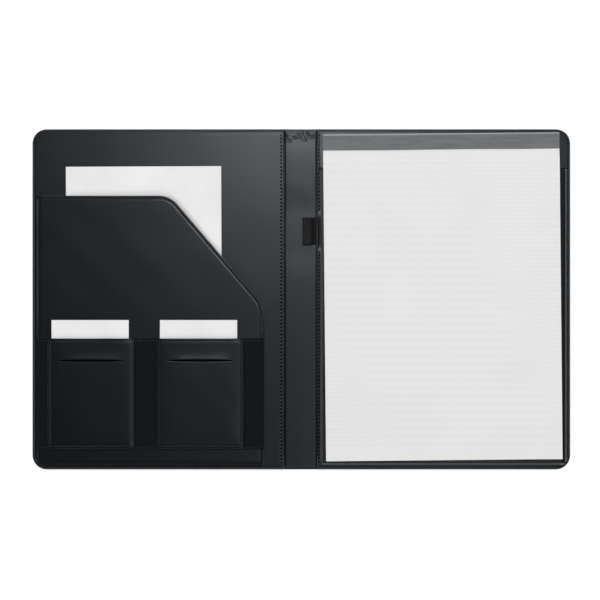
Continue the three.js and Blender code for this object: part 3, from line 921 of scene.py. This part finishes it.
# Each pucker of the gathered spine strip: middle x and y, width, length and depth
PUCKERS = (
    (-12.9, 146.5, 0.5, 1.3, 0.6),
    (-11.6, 142.6, 0.9, 0.8, 1.0),
    (-9.8, 142.2, 0.6, 0.7, 0.7),
    (-7.0, 145.6, 0.7, 0.8, 1.0),
    (-5.4, 145.2, 0.6, 0.7, 0.8),
    (-2.7, 147.0, 0.7, 1.7, 1.2),
    (1.3, 147.8, 0.6, 2.4, 1.2),
    (2.0, 144.8, 0.9, 1.5, 1.3),
    (3.8, 143.2, 0.8, 0.8, 1.1),
    (5.4, 149.0, 0.5, 1.0, 0.8),
    (7.0, 146.8, 0.8, 0.9, 1.0),
    (9.0, 145.4, 0.8, 0.8, 0.8),
    (11.0, 146.2, 0.5, 1.3, 0.6),
)


def inside_folds(x):
    return np.minimum(x - FRONT_FOLD, BACK_FOLD - x)


def strip_crown(x, y):
    """The strip stands a little proud, flat beside the front cover and falling to the back one."""
    across = smooth(FRONT_FOLD - 0.4, FRONT_FOLD + 0.8, x) * (1 - 0.9 * smooth(-1.0, BACK_FOLD + 6, x))
    clear = smooth(LOOP_HEAD + 2, LOOP_HEAD + 30, y) + smooth(2 - LOOP_FOOT, 30 - LOOP_FOOT, -y)
    return CROWN * across * clear


def strip_gather(x, y):
    """The head of the strip is drawn in: soft puckers in cloth that stands a little high."""
    raised = GATHER * smooth(HEAD - 75, HEAD - 22, y) - GATHER_DIP * smooth(HEAD - 20, HEAD - 9, y)
    for middle_x, middle_y, width, length, depth in PUCKERS:
        lean = x - middle_x - PUCKER_LEAN * (middle_y - y)
        raised = raised - depth * hump(lean, 0, width) * hump(y, middle_y, length)
    return smooth(-0.4, 0.8, inside_folds(x)) * np.maximum(raised, -0.06)


def strip_ends(x):
    """The strip sinks into the grooves beside the covers' linings."""
    return -GROOVE * smooth(-0.7, STRIP_REACH, -inside_folds(x))


def strip_under(x, y):
    on_hem = smooth(HEM_EDGE - 60, HEM_EDGE, np.abs(y))
    return SKIN + on_hem * HEM + PLY_GAP + strip_crown(x, y) + strip_gather(x, y)


def strip_top(x, y):
    waves = STRIP_WAVE * (ripple(x, y, 70, 6.3) - 0.5) * smooth(2, 6, inside_folds(x))
    waves = waves * smooth(LOOP_HEAD, LOOP_HEAD + 8, np.abs(y))
    return strip_under(x, y) + SPINE_LINING + strip_ends(x) + waves


# Stitches

STITCH_PITCH = 3.2
STITCH_RINGS = 9
STITCH_SIDES = 7
STITCH_DIVE = 0.42
STITCH_TAPER = 0.45
STITCH_FLAT = 0.8
WOBBLE = 0.10
TWIST = 0.12
HOLE_SIDES = 8
HOLE_DEPTH = 0.2
BACK_ROW = BACK_LINING_EDGE + BACK_STITCH
BOLD = {
    "slot": LINING_SLOT,
    "radius": 0.32,
    "length": 1.7,
    "lift": 0.14,
    "hole_rise": 0.22,
    "yarn": THREAD,
}


def along_path(path, pitch):
    """Points pitch apart along a path of points, with the direction at each."""
    steps = np.linalg.norm(np.diff(path, axis=0), axis=1)
    travelled = np.concatenate(([0.0], np.cumsum(steps)))
    places = np.arange(pitch / 2, travelled[-1] - pitch / 3, pitch)

    def at(shift):
        return np.array([np.interp(places + shift, travelled, path[:, k]) for k in (0, 1)])

    ahead = at(0.3) - at(-0.3)
    return *at(0.0), *(ahead / np.hypot(*ahead))


def add_tube(points, faces, rings):
    """Adds rings of points and the closed tube over them; gives the number of faces."""
    index = []
    for ring in rings:
        index.append(list(range(len(points), len(points) + len(ring))))
        points.extend(ring)
    made = tube(index)
    faces.extend(made)
    return len(made)


def stitch_rings(cx, cy, top, length, radius, lift, angle):
    """A thread about (cx, cy) that dives into the sheet at both ends."""
    wobble = WOBBLE * math.sin(cx * 3.7 + cy * 2.9)
    ux, uy = math.cos(angle), math.sin(angle)
    ts = np.linspace(-1, 1, STITCH_RINGS)
    px = cx + ux * ts * length / 2 - uy * wobble
    py = cy + uy * ts * length / 2 + ux * wobble
    pz = top(px, py) + lift - STITCH_DIVE * ts ** 4
    rings = []
    for x, y, z, width in zip(px, py, pz, radius * (1 - STITCH_TAPER * ts ** 6)):
        turns = [2 * math.pi * k / STITCH_SIDES for k in range(STITCH_SIDES)]
        outs = [(math.cos(turn) * width, math.sin(turn) * width * STITCH_FLAT) for turn in turns]
        rings.append([(x - uy * out, y + ux * out, z + up) for out, up in outs])
    return rings


# A shallow dark disc on the surface, which paints the shade of a needle hole
def hole_rings(hx, hy, hz, radius):
    turns = [2 * math.pi * k / HOLE_SIDES for k in range(HOLE_SIDES)]
    rim = [(hx + radius * math.cos(turn), hy + radius * math.sin(turn)) for turn in turns]
    return [[(x, y, hz - drop) for x, y in rim] for drop in (0.0, HOLE_DEPTH)]


def stitch_row(name, body, paths, top, slot, radius, pitch=STITCH_PITCH, length=2.35, lift=0.10,
               hole=0.36, hole_rise=0.03, yarn=DARK_THREAD):
    """Rows of stitches on a body, with a near-black disc after each stitch: painted shade of its needle hole.
    """
    points, faces, kinds = [], [], []
    for path in paths:
        for cx, cy, ux, uy in zip(*along_path(np.array(path), pitch)):
            angle = math.atan2(uy, ux) + TWIST * math.sin(cx * 1.9 - cy * 2.3)
            rings = stitch_rings(cx, cy, top, length, radius, lift, angle)
            kinds += [0] * add_tube(points, faces, rings)
            hx, hy = cx + math.cos(angle) * pitch / 2, cy + math.sin(angle) * pitch / 2
            hz = float(top(np.array([hx]), np.array([hy]))[0]) + hole_rise
            kinds += [1] * add_tube(points, faces, hole_rings(hx, hy, hz, hole))
    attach(make_piece(name, points, faces, (yarn, slot), THREAD_SHARP, HOLE_SHADE, kinds), body)


def upright(x, low, high):
    return [(x, low), (x, high)]


def level_row(y, low, high):
    return [(low, y), (high, y)]


# Cover skins, each with half of the spine

def skin_top(x, y):
    return HEM_TOP + (PANEL_TOP - HEM_TOP) * climb(x)


def crease(x):
    """The outside of the cover is pressed in along both folds."""
    return CREASE * (hump(x, FRONT_FOLD, CREASE_HALF) + hump(x, BACK_FOLD, CREASE_HALF))


def corner_pleats(x, y, inset):
    """Small folds where the skin is turned in round a corner."""
    cx = np.where(x < 0, LEFT + CORNER, RIGHT - CORNER)
    cy = np.where(y < 0, FOOT + CORNER, HEAD - CORNER)
    near = (np.abs(x) > np.abs(cx)) & (np.abs(y) > np.abs(cy))
    angle = np.arctan2(np.abs(y) - np.abs(cy), np.abs(x) - np.abs(cx))
    pleat = np.cos(angle * 22 + 0.8 * np.sin(angle * 7 + np.sign(x) + 2 * np.sign(y)))
    fade = smooth(0.5, 1.6, inset) * np.sin(2 * np.clip(angle, 0, math.pi / 2)) ** 0.5
    return np.where(near, PLEAT * fade * (pleat - 0.4), 0.0)


FINE_INSIDE = 5.0
FINE_OUTSIDE = 9.0
FOLD_STEP = 0.45
SPINE_STEP = 1.2
SKIN_GRID = 9.0
ROUND_STEPS = 5
TOP_INSETS = (1.9, 2.6, 4.5, 8.0, HEM_WIDTH)
HOLLOW_INSETS = (HEM_WIDTH, 6.0, SKIN)
CREASED_RINGS = range(4)
PLEATED_RINGS = range(10, 16)
CLOSING_POINTS = 40


def skin_profile(top):
    """(inset, height) of each ring: up round the edge, in over the board and back under the hem."""
    radius = np.minimum(EDGE_ROUND, top / 2)
    turns = [math.pi / 2 * k / ROUND_STEPS for k in range(ROUND_STEPS + 1)]
    profile = [(radius * (1 - math.sin(turn)), radius * (1 - math.cos(turn))) for turn in turns]
    for turn in turns[1:]:
        profile.append((radius * (1 - math.cos(turn)), top - radius + radius * math.sin(turn)))
    hollow = np.maximum(top - HEM, SKIN + 0.03)
    profile += [(np.full_like(top, inset), top) for inset in TOP_INSETS]
    profile += [(np.full_like(top, inset), hollow) for inset in HOLLOW_INSETS]
    return profile + [(np.full_like(top, SKIN), np.full_like(top, SKIN))]


def skin_half(name, side):
    """One cover's skin with half of the spine: a sheet turned in over three edges."""
    fold, outer = (FRONT_FOLD, LEFT) if side < 0 else (BACK_FOLD, RIGHT)
    first_y, last_y = (HEAD, FOOT) if side < 0 else (FOOT, HEAD)
    near, far = fold - side * FINE_INSIDE, fold + side * FINE_OUTSIDE
    corners = [
        (MIDDLE, first_y, 0, SPINE_STEP),
        (near, first_y, 0, FOLD_STEP),
        (far, first_y, 0, STEP),
        (outer, first_y, CORNER, STEP),
        (outer, last_y, CORNER, STEP),
        (far, last_y, 0, FOLD_STEP),
        (near, last_y, 0, SPINE_STEP),
        (MIDDLE, last_y, 0),
    ]
    base = traced(corners, 0.0, closed=False, arc_step=FINE_ARC_STEP)
    inward = traced(corners, 1.0, closed=False, arc_step=FINE_ARC_STEP) - base
    points, rings, faces = [], [], []
    for k, (inset, z) in enumerate(skin_profile(skin_top(*base.T))):
        x, y = (base + inward * inset[:, None]).T
        pleats = corner_pleats(x, y, inset) if k in PLEATED_RINGS else 0
        pressed = crease(x) if k in CREASED_RINGS else 0
        rings.append(list(range(len(points), len(points) + len(base))))
        points.extend(zip(x, y, z + pleats + pressed))
    for low, high in zip(rings[:-1], rings[1:]):
        faces += quads(low, high, closed=False)
    xs = lines_between(*sorted((MIDDLE, outer)), SKIN_GRID, [(*sorted((near, far)), FOLD_STEP)])
    grid = grid_points(xs, lines_between(FOOT, HEAD, SKIN_GRID))
    closings = []
    for ring, level in ((rings[0], 0.0), (rings[-1], SKIN)):
        start, end = np.array(points[ring[-1]]), np.array(points[ring[0]])
        closing = list(range(len(points), len(points) + CLOSING_POINTS - 1))
        points.extend(start + (end - start) * k / CLOSING_POINTS for k in range(1, CLOSING_POINTS))
        loop = ring + closing
        flat = np.array([points[i][:2] for i in loop])
        extra = grid[inside(grid, flat, 0.8)]
        index = loop + list(range(len(points), len(points) + len(extra)))
        rise = crease(extra[:, 0]) if level == 0.0 else 0
        points.extend(zip(*extra.T, np.full(len(extra), level) + rise))
        faces += [[index[i] for i in face] for face in triangles_between([flat], extra)]
        closings.append([ring[-1], *closing, ring[0]])
    faces += quads(closings[0], closings[1], closed=False)
    faces.append([ring[0] for ring in rings])
    faces.append([ring[-1] for ring in reversed(rings)])
    return make_piece(name, points, faces, COVER, SOFT_SHARP)


def build_skins():
    front = skin_half("skin_front", -1)
    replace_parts(front, "front_cover_skin", "spine_skin")
    back = skin_half("skin_back", 1)
    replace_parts(back, "back_cover_skin", "spine_skin")
    bend(front)
    bend(back)


def bend(piece):
    """Bakes the piece's transform into its mesh."""
    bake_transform(piece)


# Linings and the spine strip

EDGE_RINGS = (0.0, 0.09, 0.3, 0.8, 1.25, 1.7, 2.2, 2.7, 3.2, 4.0, 4.8, 5.6, 6.4, 8.0)


def lining_corners(inner, outer):
    left, right = (CORNER - LINING_INSET, 0.8) if outer < 0 else (0.8, CORNER - LINING_INSET)
    x0, x1 = sorted((inner, outer))
    y0, y1 = LINING_FOOT, LINING_HEAD
    return [(x0, y0, left), (x1, y0, right), (x1, y1, right), (x0, y1, left)]


def build_lining(word, inner, outer, top):
    sewn_sheet("lining_" + word, word + "_lining", word + "_cover", lining_corners(inner, outer),
               EDGE_RINGS, (lining_under, top), SATIN, word + "_board", "stretched")


def build_linings():
    build_lining("front", FRONT_LINING_EDGE, LEFT + LINING_INSET, front_lining_top)
    build_lining("back", BACK_LINING_EDGE, RIGHT - LINING_INSET, back_lining_top)
    ends = LINING_FOOT + 0.8, LINING_HEAD - 0.8
    front_row = [upright(FRONT_LINING_EDGE - FRONT_STITCH, *ends)]
    back_row = [upright(BACK_ROW, *ends)]
    stitch_row("stitches_front_fold", "front_cover", front_row, front_lining_top, hole=0.95, **BOLD)
    stitch_row("stitches_back_fold", "back_cover", back_row, back_lining_top, hole=0.85, **BOLD)


def strip_half(name, side):
    end = (FRONT_FOLD if side < 0 else BACK_FOLD) + side * STRIP_REACH
    x0, x1 = sorted((end, MIDDLE))
    y0, y1 = LINING_FOOT, LINING_HEAD
    xs = lines_between(x0, x1, 0.4)
    ys = lines_between(y0, y1, 5.0, [
        (y0, y0 + 1.2, 0.15), (HEM_EDGE - 6, y1 - 1.2, 0.45), (y1 - 1.2, y1, 0.15),
        (-HEM_EDGE - 2, -HEM_EDGE + 2, 0.4), (LOOP_FOOT - 14, LOOP_HEAD + 14, 2.0),
    ])

    def layer(x, y, sign):
        low, high = strip_under(x, y), strip_top(x, y)
        edge = np.minimum(np.minimum(y - y0, y1 - y), side * (end - x))
        return (low + high) / 2 + sign * (high - low) / 2 * np.maximum(edge_share(edge, 0.25), 0.02)

    def under(x, y):
        return layer(x, y, -1)

    def top(x, y):
        return layer(x, y, 1)

    piece = grid_sheet(name, xs, ys, under, top, SATIN_SPINE, sharp=SOFT_SHARP)
    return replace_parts(piece, "spine_lining")


def build_spine_strip():
    front = strip_half("spine_strip_front", -1)
    back = strip_half("spine_strip_back", 1)
    bend(front)
    bend(back)
    low, high = LINING_FOOT + 1, LINING_HEAD - 1
    rows = [
        upright(FRONT_FOLD + SPINE_STITCH, low, high),
        upright(BACK_FOLD - SPINE_STITCH, low, LOOP_FOOT - 1),
        upright(BACK_FOLD - SPINE_STITCH, LOOP_HEAD + 1, high),
    ]
    stitch_row("stitches_spine", "spine", rows, strip_top, LINING_SLOT, 0.16, lift=-0.03, hole=0.3)


# Pen loop

def quarter(centre, radius, count, start):
    """Points of a quarter circle in the plane of the elastic's section."""
    turns = np.linspace(start, start - math.pi / 2, count)
    return [(centre[0] + radius * math.cos(turn), centre[1] + radius * math.sin(turn)) for turn in turns]


def loop_line():
    """Centre line (x, height) of the elastic seen from the foot, from the lower tail to the upper."""
    left, right = LOOP_LEFT, LOOP_RIGHT
    side = left + 0.35
    line = [(right, 0.3), (right - 3.0, 0.3), (right - 6.0, 0.35), (left + 5.0, 0.35), (left + 3.0, 0.35)]
    line += quarter((side + 1.5, 1.85), 1.5, 7, -math.pi / 2)
    line += [(side, 2.6), (side, 3.3)]
    line += quarter((side + 1.9, 4.05), 1.9, 8, math.pi)
    tail = ((3.2, 6.0), (4.6, 6.0), (5.9, 5.85), (6.9, 5.4), (7.7, 4.6), (8.3, 3.6), (8.8, 2.6))
    line += [(left + x, height) for x, height in tail]
    line += [(left + 9.2, 1.7), (left + 9.8, 1.05), (right - 1.6, 0.75), (right, 0.72)]
    return np.array(line)


def travel_along(line):
    return np.concatenate(([0.0], np.cumsum(np.linalg.norm(np.diff(line, axis=0), axis=1))))


def build_pen_loop():
    line = loop_line()
    travelled = travel_along(line)
    length = travelled[-1]
    fine = np.linspace(0, length, 110)
    x, z = (np.interp(fine, travelled, line[:, k]) for k in (0, 1))
    for _ in range(3):
        x[1:-1] = (x[:-2] + 2 * x[1:-1] + x[2:]) / 4
        z[1:-1] = (z[:-2] + 2 * z[1:-1] + z[2:]) / 4
    dx, dz = np.gradient(x), np.gradient(z)
    size = np.hypot(dx, dz)
    nx, nz = dz / size, -dx / size
    half = 0.25 + 0.1 * smooth(3.4, 5.5, fine) * smooth(3.4, 5.5, length - fine)
    rise = smooth(2.0, 6.0, z)
    ends = [(LOOP_FOOT, LOOP_FOOT + 0.6, 0.15), (LOOP_HEAD - 0.6, LOOP_HEAD, 0.15)]
    rows = []
    for y in lines_between(LOOP_FOOT, LOOP_HEAD, 0.8, ends):
        edge = min(y - LOOP_FOOT, LOOP_HEAD - y)
        share = max(float(edge_share(edge, 0.35)), 0.05) * (1 + 0.12 * hump(edge, 0.7, 0.4))
        drawn = 0.25 * math.sin((y - LOOP_FOOT) / (LOOP_HEAD - LOOP_FOOT) * math.pi) * rise * 0.6
        sides = []
        for offset in (half * share, -half * share):
            px, pz = x + nx * offset, z + nz * offset - drawn
            sides.append([(a, y, max(b, 0.0) + LOOP_LOW) for a, b in zip(px, pz)])
        rows.append(sides)
    loop = bent_band("loop_elastic", rows, ELASTIC, SOFT_SHARP)
    stand_for(loop, "pen_loop", "spine")
    tail_rows = [upright(LOOP_RIGHT - x, LOOP_FOOT + 0.8, LOOP_HEAD - 0.8) for x in (1.3, 2.3)]
    stitch_row("stitches_loop", "spine", tail_rows, level_at(LOOP_LOW + 1.0), "elastic", 0.2,
               pitch=2.0, length=1.5, lift=0.02)


# Document pocket, band, card pockets and papers

POCKET_INSETS = (0.0, 0.12, 0.4, 0.9, 1.4, 1.9, 2.3, 2.6, 3.0, 3.6, 4.6, 5.8, 7.2, 9.0)
BAND_INSETS = (0.0, 0.08, 0.25, 0.8, 1.4, 1.8, 2.2, 2.6, 3.2, 4.4, 5.8, 7.2, 8.6)
CARD_INSETS = (0.0, 0.12, 0.4, 0.8, 1.2, 1.6, 2.0, 2.4, 2.8, 3.6, 5.0)
SLEEVE_INSETS = (0.0, 0.12, 0.4, 0.9, 1.4, 1.9, 2.3, 2.7, 3.1, 3.5, 3.9, 4.3, 5.2, 6.5, 8.0)
SLIT_PLY_INSETS = (0.0, 0.08, 1.0)
SLIT_PLY = 0.16
SLIT_PLY_GAP = 0.06
SLIT_PLY_HALF = 33
CARD_GRID = 4.0


def four_corners(x0, y0, x1, y1, radius):
    return [(x0, y0, radius), (x1, y0, radius), (x1, y1, radius), (x0, y1, radius)]


def build_document_pocket():
    sewn_sheet("pocket_document", "document_pocket", "front_cover", POCKET_CORNERS, POCKET_INSETS,
               (pocket_under, pocket_top), DARK, "lining_front")
    seam = traced(POCKET_HEMMED, POCKET_SEAM, closed=False)
    seam = seam[seam[:, 1] > BAND_HEAD + 1.0]
    stitch_row("stitches_pocket", "front_cover", [seam], pocket_top, POCKET_SLOT, 0.24)


def build_band():
    corners = four_corners(BAND_LEFT, BAND_FOOT, BAND_RIGHT, BAND_HEAD, 0.4)
    sewn_sheet("band_fabric", "card_band", "front_cover", corners, BAND_INSETS,
               (band_under, band_top), FABRIC, "pocket_document")
    rows = [level_row(y, BAND_LEFT + 1.5, BAND_RIGHT - 1.5) for y in (BAND_HEAD - BAND_SEAM, BAND_FOOT + 1.6)]
    stitch_row("stitches_band", "front_cover", rows, band_top, "band_fabric", 0.22)


def build_card_pocket(word, seed):
    node = "card_pocket_" + word
    x0, y0, x1, y1 = sides_of(node)
    corners = four_corners(x0, y0, x1, y1, 1.5)
    under, top = card_pocket_heights(x0, y0, x1, y1, seed)
    slit = ((x0 + x1) / 2, y1 - SLIT_DROP), SLIT_HALF, SLIT_GAPE
    sewn_sheet("pocket_card_" + word, node, "front_cover", corners, CARD_INSETS,
               (under, top), DARK, "band_fabric", slit=slit, grid=CARD_GRID)
    left, foot, right = x0 + CARD_STITCH, y0 + CARD_STITCH, x1 - CARD_STITCH
    sides = [(left, y1 - 1.5), (left, foot), (right, foot), (right, y1 - 1.5)]
    rows = [sides, level_row(y1 - CARD_STITCH, x0 + 3.5, x1 - 3.5)]
    stitch_row("stitches_card_" + word, "front_cover", rows, top, POCKET_SLOT, 0.24, pitch=3.6, length=2.5)


def build_slit_shade_sheet(word):
    """The ply sewn behind the slit, in near-black that paints the shade in the slit's gap; it also keeps the
    card under the pocket out of sight.
    """
    x0, _, x1, y1 = sides_of("card_pocket_" + word)
    middle, y = (x0 + x1) / 2, y1 - SLIT_DROP
    low = CARD_LEVEL + SHEET + SLIT_PLY_GAP
    corners = four_corners(middle - SLIT_PLY_HALF, y - 9, middle + SLIT_PLY_HALF, y + 7, 1)
    sewn_sheet("slit_shade_sheet_" + word, None, "front_cover", corners, SLIT_PLY_INSETS,
               (level_at(low), level_at(low + SLIT_PLY)), SLIT_SHADE, "pocket_card_" + word)


def flat_paper(name, node, turn=0.0):
    """A sheet of paper or card, lying flat and turned a little within its CAD box."""
    low, high = node_box(node)
    middle = (low + high) / 2
    width, length = high[0] - low[0], high[1] - low[1]
    c, s = math.cos(turn), math.sin(turn)
    det = c * c - s * s
    width, length = (width * c - length * s) / det, (length * c - width * s) / det
    xs = lines_between(-width / 2, width / 2, 6.0)
    ys = lines_between(-length / 2, length / 2, 6.0)
    place = placed(middle[0], middle[1], turn)
    sheet = grid_sheet(name, xs, ys, level_at(low[2]), level_at(high[2]), WHITE_CARD, place)
    stand_for(sheet, node, "front_cover")


def build_papers():
    flat_paper("sheet_document", "document_sheet", math.radians(0.26))
    flat_paper("card_left", "note_card_left")
    flat_paper("card_right", "note_card_right")


# Sleeve and pad

def build_sleeve():
    corners = [
        (SLEEVE_LEFT, SLEEVE_FOOT, 0.6),
        (SLEEVE_RIGHT, SLEEVE_FOOT, CORNER - 2),
        (SLEEVE_RIGHT, SLEEVE_MOUTH, 0.6),
        (SLEEVE_LEFT, SLEEVE_MOUTH, 0.6),
    ]
    sewn_sheet("sleeve_pad", "pad_pocket", "back_cover", corners, SLEEVE_INSETS,
               (sleeve_under, sleeve_top), DARK, "lining_back")
    rows = [
        level_row(SLEEVE_MOUTH - SLEEVE_SEAM, SLEEVE_LEFT + 2, SLEEVE_RIGHT - 2),
        upright(SLEEVE_RIGHT - 1.2, SLEEVE_FOOT + 12, SLEEVE_MOUTH - 3),
    ]
    stitch_row("stitches_sleeve", "back_cover", rows, sleeve_top, POCKET_SLOT, 0.22)
    low, high = SLEEVE_FOOT + 2, SLEEVE_MOUTH - 1
    fold = [upright(BACK_ROW, low, LOOP_FOOT - 4), upright(BACK_ROW, LOOP_HEAD + 4, high)]
    stitch_row("stitches_sleeve_fold", "back_cover", fold, sleeve_top, hole=0.85, **BOLD)


on_pad = placed(PAD_X, PAD_Y, PAD_TURN)
PAD_GRID = 8.0
PAGE_LAYERS = 18


def build_pad():
    half, end = PAD_WIDTH / 2, PAD_LENGTH / 2
    head = end - TAPE - PLY_GAP
    sleeve_edge = SLEEVE_MOUTH - PAD_Y + half * math.sin(PAD_TURN)
    bend_end, bend_start = sleeve_edge + 2, sleeve_edge + 12

    def pages_under(x, y):
        return BACKING_TOP + PAGES_STEP * (1 - smooth(bend_end, bend_start, y))

    def pages_top(x, y):
        back = np.clip(y - (head - PAGES_ROUND), 0, PAGES_ROUND)
        rounded = PAGES_ROUND - np.sqrt(np.maximum(PAGES_ROUND ** 2 - back ** 2, 0))
        corners = smooth(half - 60, half, x) + 0.4 * smooth(half - 60, half, -x)
        return pages_under(x, y) + PAGES - rounded + 0.5 * smooth(-end + 40, -end, y) * corners

    def ruffled(x, y, z):
        level = round((z - BACKING_TOP) * 4)
        jitter = 0.16 * math.sin(level * 12.9898 + 1.3)
        side = 1 if abs(x) > half - 0.01 else 0
        low = 1 if y < -end + 0.01 else 0
        return on_pad(x + math.copysign(side * jitter, x), y - low * jitter, z)

    xs = lines_between(-half, half, PAD_GRID)
    marks = [(bend_end, bend_start, 0.7), (head - PAGES_ROUND, head, 0.2)]
    ys = lines_between(-end, head, PAD_GRID, marks)
    pages = grid_sheet("pad_leaves", xs, ys, pages_under, pages_top, RULED, ruffled, PAGE_SHARP, PAGE_LAYERS)
    stand_for(pages, "pad_pages", "back_cover")
    ys = lines_between(-end, head, PAD_GRID)
    heights = level_at(BACKING_LEVEL), level_at(BACKING_TOP)
    board = grid_sheet("backing_board", xs, ys, *heights, CHIPBOARD, on_pad)
    stand_for(board, "pad_backing", "back_cover")
    build_tape(half, end, PAGES_ROUND + TAPE)


def tape_section(end, low, high, bend_radius):
    """(y, z) of the tape's outside and inside: over the pages, round the head and under the backing."""
    edge = end - TAPE_WIDTH
    lines = []
    for ply, small in ((0, 0.5), (TAPE, 0.2)):
        radius = bend_radius - ply
        line = [(edge + k * 2.5, high - ply) for k in range(6)]
        for turn in np.linspace(0, math.pi / 2, 9):
            y, z = end - bend_radius, high - bend_radius
            line.append((y + radius * math.sin(turn), z + radius * math.cos(turn)))
        for turn in np.linspace(0, math.pi / 2, 5):
            line.append((end - 0.5 + small * math.cos(turn), low + 0.5 - small * math.sin(turn)))
        lines.append(line + [(edge, low + ply)])
    return lines


def build_tape(half, end, bend_radius):
    low, high = BACKING_LEVEL - TAPE, BACKING_TOP + PAGES + TAPE
    section = tape_section(end, low, high, bend_radius)

    def waved(x, y, z):
        wave = 0.05 * math.sin(x * 0.31) * math.sin(x * 0.083 + 1) if z > high - 1 else 0
        ragged = 0.12 * math.sin(x * 0.05 + 1) * (y < end - TAPE_WIDTH + 1)
        return on_pad(x, y + ragged, z + wave)

    xs = lines_between(-half - 0.15, half + 0.15, 3.0)
    rows = [[[waved(x, y, z) for y, z in line] for line in section] for x in xs]
    stand_for(bent_band("pad_tape", rows, TAPE_PAPER, SHARP), "pad_binding", "back_cover")


# Stage, light and camera

CAMERA_HEIGHT = 2.6
VIEW_WIDTH = 0.540
CAMERA_X = -0.0012
CAMERA_Y = -0.0006
SENSOR = 36.0
FLOOR_HALF = 3.0
FLOOR_LEVEL = -0.0001
FLOOR_GLOW = 0.42
ROOM_LIGHT = 0.02
LOW_HEIGHT = 0.78
LOW_POWER = 18.0
LOW_BOXES = (("left", -1.7, 0.1), ("right", 1.7, 0.1), ("head", 0, 1.7), ("foot", 0, -1.7))


def softbox(name, place, aim, width, depth, power):
    light = bpy.data.lights.new(name, "AREA")
    light.shape = "RECTANGLE"
    light.size = width
    light.size_y = depth
    light.energy = power
    lamp = add_object(name, light)
    lamp.location = place
    lamp.rotation_euler = (Vector(aim) - Vector(place)).to_track_quat("-Z", "Y").to_euler()


def build_light():
    softbox("key_softbox", (0.04, 0.29, 1.20), (0.0, 0.10, 0.0), 0.28, 0.18, 2.55)
    softbox("fill_softbox", (0.22, -0.26, 1.50), (0.10, -0.10, 0.0), 0.30, 0.20, 0.6)
    for word, x, y in LOW_BOXES:
        softbox(word + "_softbox", (x, y, LOW_HEIGHT), (0, 0, 0), 1.4, 0.8, LOW_POWER)


def build_world():
    world = bpy.data.worlds.new("studio")
    world.use_nodes = True
    bpy.context.scene.world = world
    tree = world.node_tree
    tree.nodes.clear()
    rays = linked(tree, "ShaderNodeLightPath")
    seen = linked(tree, "ShaderNodeBackground", {"Color": (1, 1, 1, 1), "Strength": 1.0})
    room = linked(tree, "ShaderNodeBackground", {"Color": (1, 1, 1, 1), "Strength": ROOM_LIGHT})
    mix = linked(tree, "ShaderNodeMixShader", {
        "Fac": rays.outputs["Is Camera Ray"],
        1: room.outputs["Background"],
        2: seen.outputs["Background"],
    })
    linked(tree, "ShaderNodeOutputWorld", {"Surface": mix.outputs["Shader"]})


def floor_material():
    """Pale floor that the camera sees brighter than it lights the folder."""
    material, tree, shader = surface("pale_floor", 0.9, 0.1, (0.88, 0.88, 0.88))
    rays = linked(tree, "ShaderNodeLightPath")
    glow = result(tree, "MULTIPLY", rays.outputs["Is Camera Ray"], FLOOR_GLOW)
    light = linked(tree, "ShaderNodeEmission", {"Color": (1, 1, 1, 1), "Strength": glow})
    both = linked(tree, "ShaderNodeAddShader", {0: shader.outputs["BSDF"], 1: light.outputs["Emission"]})
    tree.links.new(both.outputs["Shader"], tree.nodes["Material Output"].inputs["Surface"])
    return material


def build_floor():
    mesh = bpy.data.meshes.new("studio_floor")
    corners = ((-1, -1), (1, -1), (1, 1), (-1, 1))
    points = [(x * FLOOR_HALF, y * FLOOR_HALF, FLOOR_LEVEL) for x, y in corners]
    mesh.from_pydata(points, [], [(0, 1, 2, 3)])
    mesh.materials.append(floor_material())
    add_object("studio_floor", mesh)


def build_camera():
    data = bpy.data.cameras.new("photo_view")
    data.sensor_width = SENSOR
    data.lens = SENSOR * CAMERA_HEIGHT / VIEW_WIDTH
    data.clip_end = 20.0
    camera = add_object("photo_view", data)
    camera.location = (CAMERA_X, CAMERA_Y, CAMERA_HEIGHT)
    bpy.context.scene.camera = camera


def dress_boards():
    for name in ("front_board", "back_board"):
        node = frame["nodes"][name]
        node.data.materials.clear()
        node.data.materials.append(BOARD)


bpy.context.scene.view_settings.view_transform = "Standard"
build_camera()
build_world()
build_light()
build_floor()
build_skins()
build_linings()
build_spine_strip()
build_pen_loop()
build_document_pocket()
build_band()
build_card_pocket("left", 3.3)
build_card_pocket("right", 5.9)
build_slit_shade_sheet("left")
build_slit_shade_sheet("right")
build_papers()
build_sleeve()
build_pad()
dress_boards()
